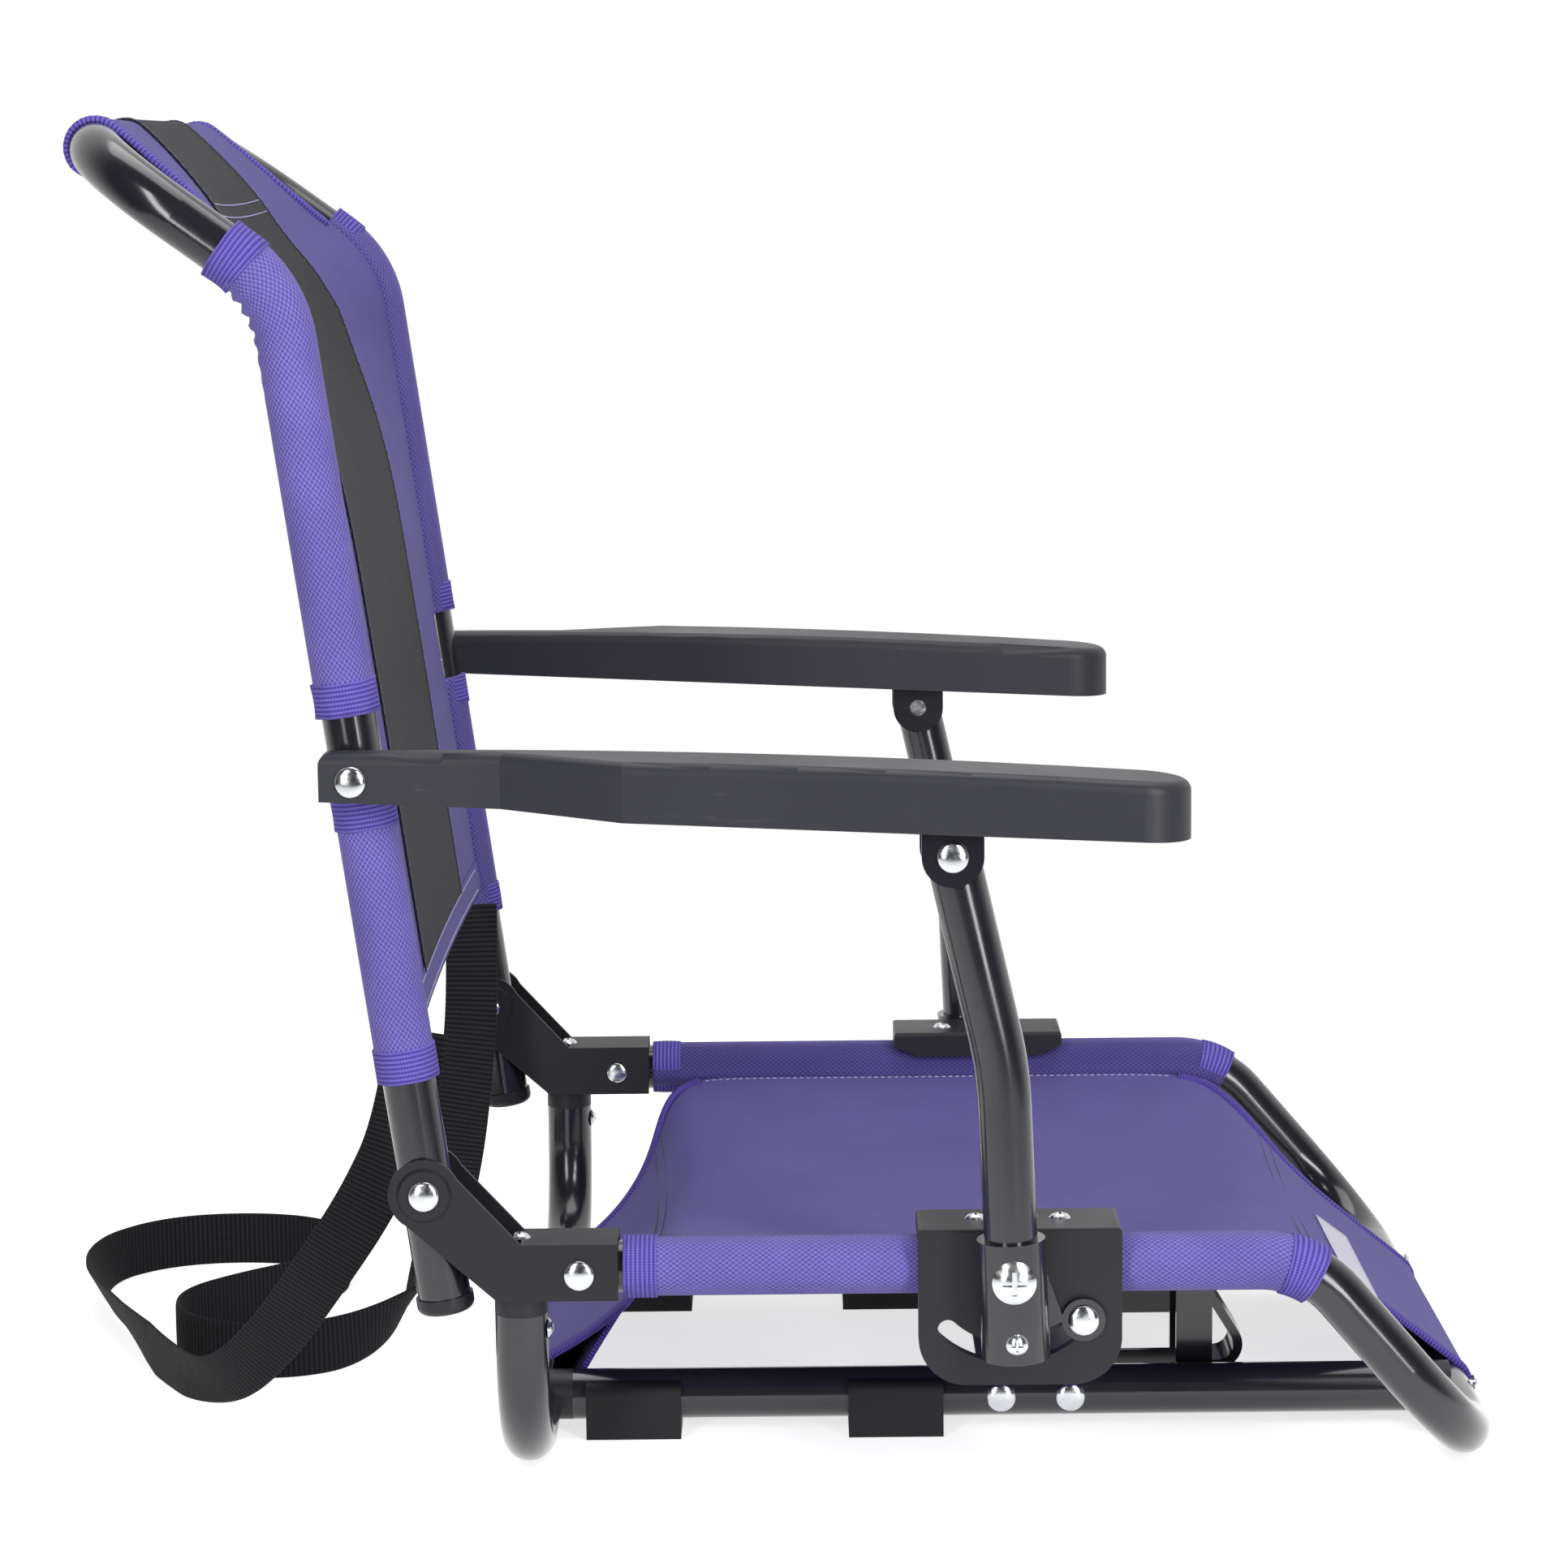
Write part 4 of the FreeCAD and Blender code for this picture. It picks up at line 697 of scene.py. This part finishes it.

# %% [markdown]
# ## Cloth, tape and thread finishes
# The purple cloth is a plain weave: a sine across times a sine along gives the chequer of threads that
# lie over and under. The sleeves show a coarser dotted weave, with painted shade on their sides towards
# the seat's middle; the hems and tapes are ribbed, and the charcoal panel has fine ribs across.
# Sheen lightens cloth at a glancing angle, as loose fibres do.

# %% Woven finishes
def woven(name, dark, light, pitch, stretch=1.0, relief=0.35, sheen=0.12, inner=None):
    """Plain weave: height = sine across the cloth times sine along it, with slow noise in the dye.

    inner holds darker dark and light colours, painted shade on a sleeve's side towards the seat's middle."""
    material, tree, shader = new_finish(name, dark, 0.78, Sheen_Weight=sheen, Sheen_Roughness=0.45,
                                        Specular_IOR_Level=0.3)
    uv, across, along = cloth_place(tree)
    over = math_node(tree, "MULTIPLY", wave(tree, across, pitch), wave(tree, along, pitch * stretch))
    height = span_node(tree, over, -1.0, 1.0)
    thread = noise_node(tree, uv, 900.0, 2.0)
    slow = noise_node(tree, uv, 24.0, 3.0)
    mixed = math_node(tree, "ADD", math_node(tree, "MULTIPLY", height, 0.7),
                      math_node(tree, "MULTIPLY", thread, 0.3))
    shade = math_node(tree, "MULTIPLY", mixed, span_node(tree, slow, 0.3, 0.7, 0.8, 1.15))
    colour = colour_mix(tree, shade, dark, light)
    # Painted shade: the sleeve's side towards the seat's middle takes the darker inner colours, for the shade that
    # side is in.
    if inner:
        distance = math_node(tree, "ABSOLUTE", split(tree, object_place(tree))[1])
        outside = span_node(tree, distance, half_track - 6 * mm, half_track + 3 * mm)
        colour = colour_mix(tree, outside, colour_mix(tree, shade, *inner), colour)
    tree.links.new(colour, shader.inputs["Base Color"])
    bump_node(tree, shader, height, relief * mm, 0.6)
    return material


purple_dark, purple_light = (0.042, 0.031, 0.175), (0.112, 0.088, 0.375)
purple_weave = woven("purple_weave", purple_dark, purple_light, 1.1 * mm)
dotted = ((0.036, 0.024, 0.165), (0.230, 0.188, 0.610), 2.1 * mm, 1.3, 0.6)
# Painted shade on the sleeve sides towards the seat's middle: strong on the seat sleeves, milder on the back
# sleeves.
seat_dotted_painted_shade = woven("seat_dotted_painted_shade", *dotted, inner=((0.026, 0.018, 0.115), (0.094, 0.074, 0.290)))
back_dotted_painted_shade = woven("back_dotted_painted_shade", *dotted, inner=((0.034, 0.024, 0.145), (0.160, 0.130, 0.440)))
charcoal_weave = woven("charcoal_weave", (0.008, 0.008, 0.011), (0.028, 0.028, 0.036), 1.0 * mm, 2.4, 0.3,
                       sheen=0.03)
hem_tape = webbing("hem_tape", (0.040, 0.026, 0.190), (0.180, 0.140, 0.560), 1.9 * mm)
dark_tape = webbing("dark_tape", (0.026, 0.015, 0.140), (0.130, 0.092, 0.450), 1.7 * mm)
light_thread = new_finish("light_thread", (0.36, 0.32, 0.62), 0.6, Sheen_Weight=0.2)[0]
dark_thread = new_finish("dark_thread", (0.030, 0.024, 0.075), 0.6, Sheen_Weight=0.2)[0]
print("cloth finishes ready")


# %% [markdown]
# ## Seat sling
# The side view of the seat's cloth starts at a seam under the rear, goes round the rear cross bar, climbs
# to the rails, runs flat to the front bends, falls to the front cross bar, goes round it and ends at a
# second seam. Beside the bars it is cut narrower, so the corners of the frame stay free.

# %% Seat cloth
def cut_run(path, start, end, spacing=2 * mm):
    """The part of a path between two distances along it."""
    count = max(2, int(round((end - start) / spacing)) + 1)
    return sample(path, run_length(path), np.linspace(start, end, count))


def bar_wrap(centre, start, end, half, step=12):
    """Stations round a cross bar, from a start to an end angle in degrees above the front."""
    angle = np.radians(np.linspace(start, end, int(abs(end - start) / step) + 2))
    ring = centre + (tube + 0.8 * mm) * np.stack([np.cos(angle), np.sin(angle)], axis=1)
    return np.column_stack([ring, np.full(len(angle), half), ring])


def from_rear_bar(*rows):
    """Stations in millimetres from the rear bar and the floor: edge x and z, half width, middle x and z."""
    return np.array(rows) * mm + np.array([rear_bar[0], 0, 0, rear_bar[0], 0])


loop_half = 86 * mm
tongue_half = 88.5 * mm
seat_half = half_track - tube - 0.5 * mm
seat_mm = seat_half / mm
seat_stations = np.concatenate([
    from_rear_bar((36, 50.5, 86, 36, 50.5), (28, 38, 86, 28, 38), (19, 23, 86, 19, 23)),
    bar_wrap(rear_bar, -30, -239, loop_half),
    from_rear_bar((16, 37, 92, 16, 37), (33, 52, 104, 34, 51), (44, 68, 130, 48, 65), (48, 84, 158, 59, 78),
                  (58, 95, seat_mm, 66, 86), (85, 96, seat_mm, 86, 87), (120, 96, seat_mm, 120, 86),
                  (203, 96, seat_mm, 203, 85), (278, 96, seat_mm, 278, 87), (307, 95.7, seat_mm, 306, 87),
                  (326, 91.5, 172, 323, 84), (341, 80, 140, 338, 76), (352, 68, 110, 351, 67),
                  (366, 56, 95, 366, 56), (384, 42, 89, 384, 42)),
    bar_wrap(front_bar, 45, -140, tongue_half),
    from_rear_bar((386, 20, 88.5, 386, 20), (377, 36, 88.5, 377, 36), (368, 50.6, 88.5, 368, 50.6)),
])
seat_rows = even_run(smooth_run(seat_stations, 900), 3 * mm)
seat = panel_of(seat_rows[:, 3:], seat_rows[:, :2], seat_rows[:, 2], 1)


def row_near(panel, x, z):
    """The panel's row whose middle is nearest to a side-view point."""
    return int(np.argmin(np.hypot(panel["middle"][:, 0] - x, panel["middle"][:, 1] - z)))


seat_cloth = cloth_panel("seat_cloth", seat, -seat["half"], seat["half"], columns=72, slack=0.35 * mm)
finish_piece(seat_cloth, "seat", purple_weave, "seat_sling")

# %% Seat sleeves and hems
def add_trim(carried, piece, material, body):
    """Dresses a small piece and lists it with those that one cloth carries."""
    carried.append(finish_piece(piece, body, material))


sleeve_gap = 2 * mm
sleeve_start = np.array([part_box("left_hinge_bracket")[1].x + sleeve_gap, rail_z])
rail_run = bent_run(sleeve_start, slope_vertex, front_bar, rail_bend)
sleeve_turn = math.radians(32)
flat_length = slope_vertex[0] - sleeve_start[0] - rail_bend * math.tan(slope_angle / 2)
sleeve_length = flat_length + rail_bend * sleeve_turn
seat_sleeve_run = cut_run(rail_run, 0, sleeve_length)
hem_length = 14 * mm
sleeve_tail = 2.4 * mm
seat_trim = []
for side, word in sides:
    piece = sleeve(f"{word}_seat_sleeve", seat_sleeve_run, side, 1, math.radians(104), sleeve_tail)
    add_trim(seat_trim, piece, seat_dotted_painted_shade, "seat")
    for end, start in (("rear", 0.0), ("front", sleeve_length - hem_length)):
        piece = hem_ring(f"{word}_{end}_seat_hem", seat_sleeve_run, start, hem_length, side, 1, 0.25 * mm)
        add_trim(seat_trim, piece, hem_tape, "seat")
print("seat trim", len(seat_trim))

# %% Seat edges and stitching
def edge_run(panel, rows, side):
    """A panel's side edge over some rows, with directions into the cloth and off its face."""
    line, normal = on_panel(panel, rows, side * panel["half"][rows])
    way = unit(np.gradient(line, axis=0))
    inward = unit(np.cross(normal, way))
    inward *= -np.sign(inward[:, 1:2]) * side
    return line, inward, normal


middle = row_near(seat, support_pin[0], rail_z)
narrow = seat["half"] < seat_half - 0.8 * mm
row_numbers = np.arange(len(seat_rows))
cut_outs = {"rear": row_numbers[narrow & (row_numbers < middle)],
            "front": row_numbers[narrow & (row_numbers > middle)]}
for side, word in sides:
    for end, rows in cut_outs.items():
        piece = edge_tape(f"{word}_{end}_seat_tape", *edge_run(seat, rows, side))
        add_trim(seat_trim, piece, dark_tape, "seat")
    flat = row_numbers[~narrow]
    line, normal = on_panel(seat, flat, side * (seat["half"][flat] - 5 * mm), cloth / 2)
    piece = stitch_row(f"{word}_seat_stitches", line, normal)
    add_trim(seat_trim, piece, light_thread, "seat")


def seam_across(name, panel, row, margin, lift, count=80, **size):
    """A row of stitches across a panel, stopping short of both edges."""
    y = np.linspace(-1, 1, count) * (panel["half"][row] - margin)
    return stitch_row(name, *on_panel(panel, np.full(count, row), y, lift), **size)


for end, x, z in (("rear", 50, 67), ("front", 340, 75)):
    seam = row_near(seat, rear_bar[0] + x * mm, z * mm)
    for number, row in enumerate((seam, seam + 2)):
        piece = seam_across(f"{end}_seat_seam_{number}", seat, row, 9 * mm, cloth / 2)
        add_trim(seat_trim, piece, dark_thread, "seat")
patch_from = row_near(seat, rear_bar[0] + 356 * mm, 63 * mm)
patch_rows = np.arange(patch_from, patch_from + 7)
patch_y = np.linspace(-85 * mm, 18 * mm, 24)
patch_lift = 0.9 * mm
patch_points = on_panel(seat, patch_rows[:, None], patch_y[None, :], patch_lift)[0]
patch_uv = np.stack(np.broadcast_arrays(patch_y[None, :], seat["run"][patch_rows][:, None]), axis=-1)
patch = grid_piece("blank_care_patch", patch_points, patch_uv)
patch.modifiers.new("cloth", "SOLIDIFY").thickness = 0.3 * mm
patch_cloth = woven("patch_cloth", (0.52, 0.50, 0.62), (0.68, 0.66, 0.76), 0.5 * mm, relief=0.05,
                    sheen=0.05)
add_trim(seat_trim, patch, patch_cloth, "seat")

# %% [markdown]
# ## Back sling
# The back's cloth runs up the leaning tubes, over the bend and round the top bar to a seam behind. It
# has a charcoal panel in the middle that narrows towards the top, purple strips on both sides with
# sleeves that leave a gap for the arms, and a straight hem at the bottom that carries the strap. At the
# bend the pull along the cloth draws its middle in behind the tubes, which a bell curve along it gives.

# %% Back cloth
def soften(values, reach=4):
    """Running mean over a few rows, with the end values kept."""
    padded = np.pad(values, reach, mode="edge")
    return np.convolve(padded, np.full(2 * reach + 1, 1 / (2 * reach + 1)), mode="valid")


front_way = np.array([math.cos(lean), math.sin(lean)])
upper_front = np.array([math.sin(upper_angle), math.cos(upper_angle)])
vertex_rise = float(np.linalg.norm(back_vertex - back_foot))
upper_length = float(np.linalg.norm(top_bar - back_vertex))
hem_foot = 60 * mm
hem_rise = 15 * mm
hem_forward = 4 * mm
flat_sag = 3 * mm
back_turn = math.pi / 2 - upper_angle - lean
bend_reach = back_bend * math.tan(back_turn / 2)
bend_saving = 2 * bend_reach - back_bend * back_turn
cloth_start = hem_foot + hem_rise - 2 * mm
axis = bent_run(back_foot + back_up * cloth_start, back_vertex, top_bar, back_bend, 3 * mm)
axis_run = run_length(axis)
past_vertex = axis_run + cloth_start - vertex_rise + bend_saving
forward_mm = np.interp(past_vertex, [0, 0.030, 0.055, upper_length], [4, 4.6, 8.3, 11.8])
forward = soften(forward_mm * mm)
front_face = axis + side_normal(axis, -1) * forward[:, None]
top_angle = 90 - math.degrees(upper_angle)
over_top = bar_wrap(top_bar, top_angle + 12, top_angle + 175, 0)[:, :2]
behind = np.array([back_vertex + upper_way * 0.062 - upper_front * 8 * mm,
                   back_vertex + upper_way * 0.050 - upper_front * 1 * mm])
back_path = even_run(smooth_run(np.concatenate([front_face, over_top, behind]), 900), 3 * mm)
back_run = run_length(back_path)

back_half = half_track - tube - 0.2 * mm
gap_low = arm_distance - 9 * mm
gap_high = arm_distance + 24 * mm
notch_low = gap_low - cloth_start
notch_high = gap_high - cloth_start
notch = 11 * mm
vertex_run = vertex_rise - cloth_start - bend_saving / 2
width_run = [0, notch_low - notch, notch_low, notch_high, notch_high + notch, vertex_run + 0.026,
             vertex_run + 0.040, vertex_run + 0.056, vertex_run + upper_length]
width_half = [back_half, back_half, back_half - notch, back_half - notch, back_half, back_half - 1 * mm,
              0.166, 0.155, 0.150]
panel_run = [0, vertex_run - bend_reach, vertex_run + upper_length]
back_edge_half = soften(np.interp(back_run, width_run, width_half), 2)
bend_sag = 19 * mm * np.exp(-((back_run - vertex_run) / 0.060) ** 2)
back_sag = np.interp(back_run, [0, vertex_run, vertex_run + 0.05], [flat_sag, flat_sag, 0]) + bend_sag
back_middle = back_path - side_normal(back_path, -1) * back_sag[:, None]
charcoal_half = soften(np.interp(back_run, panel_run, [0.096, 0.096, 0.068]))
back = panel_of(back_middle, back_path, back_edge_half, -1)
under = 4 * mm
panel_lift = 0.9 * mm
back_pieces = {
    "left": cloth_panel("left_back_strip", back, charcoal_half - under, back["half"], columns=30),
    "right": cloth_panel("right_back_strip", back, -back["half"], under - charcoal_half, columns=30),
    "middle": cloth_panel("charcoal_panel", back, -charcoal_half, charcoal_half, panel_lift, columns=44),
}
finish_piece(back_pieces["left"], "back", purple_weave, "left_back_sling")
finish_piece(back_pieces["right"], "back", purple_weave, "right_back_sling")
finish_piece(back_pieces["middle"], "back", charcoal_weave, "back_center_panel")
hem_place = np.linspace(hem_foot, hem_foot + hem_rise, 7)[:, None]
hem_line = back_foot + back_up * hem_place + front_way * hem_forward
hem = panel_of(hem_line - front_way * flat_sag, hem_line, np.full(len(hem_line), back_half), -1)
hem_strip = cloth_panel("back_hem_strip", hem, -hem["half"], hem["half"], 0.6 * mm, columns=72)
finish_piece(hem_strip, "back", purple_weave, "back_hem")
print("back cloth rows", len(back_path), "length", round(float(back_run[-1]), 4))

# %% Back sleeves, hems and stitching
sleeve_foot = 47 * mm
back_axis = bent_run(back_foot + back_up * sleeve_foot, back_vertex, top_bar, back_bend)
arm_low = gap_low - sleeve_foot
arm_high = gap_high - sleeve_foot
bend_from = vertex_rise - bend_reach - sleeve_foot
sleeve_top = bend_from + back_bend * back_turn + 28 * mm - bend_reach
lower_run = cut_run(back_axis, 0, arm_low)
upper_run = cut_run(back_axis, arm_high, sleeve_top)
bend_middle = bend_from + back_bend * back_turn / 2 - arm_high


def bend_gather(along, angle):
    """Folds where the sleeve is pushed together, on the rear of the bend: a sine under a bell curve."""
    bell = np.exp(-((along - bend_middle) / 0.024) ** 2)
    folds = np.sin(2 * np.pi * along / 0.0085 + 0.9 * np.sin(2 * angle))
    return 1.1 * mm * bell * np.clip(-np.cos(angle), 0, 1) * folds


trim = {"left": [], "right": [], "middle": [], "hem": []}
for side, word in sides:
    for place, run, gather in (("lower", lower_run, None), ("upper", upper_run, bend_gather)):
        piece = sleeve(f"{word}_{place}_back_sleeve", run, side, -1, math.radians(71), sleeve_tail, gather)
        add_trim(trim[word], piece, back_dotted_painted_shade, "back")
        total = float(run_length(run)[-1])
        foot_frill = 0.7 if place == "upper" else 0.25
        for end, start, frill in (("foot", 0.0, foot_frill), ("top", total - hem_length, 0.5)):
            piece = hem_ring(f"{word}_{place}_{end}_hem", run, start, hem_length, side, -1, frill * mm)
            add_trim(trim[word], piece, hem_tape, "back")
    rows = np.arange(len(back_path))
    tongue = rows[back_run > vertex_run + 0.030]
    piece = edge_tape(f"{word}_top_tape", *edge_run(back, tongue, side))
    add_trim(trim[word], piece, hem_tape, "back")
    line, normal = on_panel(back, rows, side * charcoal_half, 1.7 * mm)
    piece = stitch_row(f"{word}_overlock", line, normal, 2.4 * mm, 4.2 * mm, 0.6 * mm, sway=0.9)
    add_trim(trim["middle"], piece, dark_thread, "back")

for number, distance in enumerate((0.048, 0.053)):
    row = int(np.argmin(np.abs(back_run - vertex_run - distance)))
    margin = back["half"][row] - charcoal_half[row] + 2 * mm
    piece = seam_across(f"top_seam_{number}", back, row, margin, 1.8 * mm, thick=0.35 * mm)
    add_trim(trim["middle"], piece, light_thread, "back")
for number, row in enumerate((1, 5)):
    piece = seam_across(f"hem_seam_{number}", hem, row, 12 * mm, 1.4 * mm)
    add_trim(trim["hem"], piece, light_thread, "back")

print("back trim", {key: len(value) for key, value in trim.items()})

# %% [markdown]
# ## Floor and light
# A small pale floor and a white surround stand for the studio. Two tall strip lamps that reach down to
# the floor give the long highlights on the tubes, because an upright tube mirrors what stands low in
# front of it. The surround is white behind the seat, for the camera and in reflections, and dim on the
# camera's side, as a studio is.

# %% Studio
def studio_floor():
    """A floor lit by the lamps near the seat, which turns into plain white further out."""
    size = 1.1
    corners = np.array([[[-size, -size, 0], [size, -size, 0]], [[-size, size, 0], [size, size, 0]]], float)
    floor = grid_piece("studio_floor", corners - np.array([0, 0, 0.2 * mm]), corners[:, :, :2])
    material, tree, shader = new_finish("pale_floor", (0.72, 0.72, 0.72), 0.9, Specular_IOR_Level=0.1)
    path = add_node(tree, "LightPath")
    seen = math_node(tree, "MAXIMUM", path.outputs["Is Camera Ray"], path.outputs["Is Glossy Ray"])
    distance = add_node(tree, "VectorMath")
    distance.operation = "LENGTH"
    tree.links.new(object_place(tree), distance.inputs[0])
    far = span_node(tree, distance.outputs["Value"], 0.42, 0.95)
    white = add_node(tree, "Emission")
    lift = add_node(tree, "Emission")
    lift.inputs["Strength"].default_value = 0.72
    near = add_node(tree, "AddShader")
    tree.links.new(shader.outputs[0], near.inputs[0])
    tree.links.new(lift.outputs[0], near.inputs[1])
    blend = add_node(tree, "MixShader")
    switch = add_node(tree, "MixShader")
    for mixer, factor, first, second in ((blend, far, near, white), (switch, seen, shader, blend)):
        tree.links.new(factor, mixer.inputs[0])
        tree.links.new(first.outputs[0], mixer.inputs[1])
        tree.links.new(second.outputs[0], mixer.inputs[2])
    tree.links.new(switch.outputs[0], tree.nodes["Material Output"].inputs["Surface"])
    floor.data.materials.append(material)


def studio_world(strength, room):
    """White behind the seat, also in reflections, a dim room on the camera's side, and soft fill light."""
    world = bpy.data.worlds.new("studio")
    world.use_nodes = True
    tree = world.node_tree
    path = add_node(tree, "LightPath")
    direct = math_node(tree, "MAXIMUM", path.outputs["Is Camera Ray"], path.outputs["Is Transmission Ray"])
    depth = split(tree, add_node(tree, "TexCoord").outputs["Generated"])[1]
    behind = span_node(tree, depth, -0.25, 0.35, room - strength, 1.0 - strength)
    mirrored = math_node(tree, "MULTIPLY", path.outputs["Is Glossy Ray"], behind)
    shown = math_node(tree, "MULTIPLY", direct, 1.0 - strength)
    total = math_node(tree, "ADD", math_node(tree, "ADD", mirrored, shown), strength)
    ground = tree.nodes["Background"]
    ground.inputs["Color"].default_value = (1, 1, 1, 1)
    tree.links.new(total, ground.inputs["Strength"])
    bpy.context.scene.world = world


def soft_lamp(name, place, target, width, height, power):
    data = bpy.data.lights.new(name, "AREA")
    data.shape = "RECTANGLE"
    data.size, data.size_y, data.energy = width, height, power
    lamp = bpy.data.objects.new(name, data)
    away = unit(np.array(place, float) - np.array(target, float))
    side = unit(np.cross((0, 0, 1), away))
    lamp.matrix_world = Matrix.Translation(place) @ Matrix(
        np.stack([side, np.cross(away, side), away], axis=1).tolist()).to_4x4()
    bpy.context.scene.collection.objects.link(lamp)


studio_floor()
studio_world(0.40, 0.06)
soft_lamp("right_strip", (0.85, -1.45, 0.78), (0, 0, 0.3), 0.36, 1.5, 20)
soft_lamp("left_strip", (-0.75, -1.6, 0.78), (0, 0, 0.3), 0.30, 1.5, 14)
soft_lamp("top_lamp", (0.1, 0.2, 2.3), (0, 0, 0.2), 1.8, 1.4, 20)
bpy.context.scene.view_settings.view_transform = "Standard"
print("studio ready")
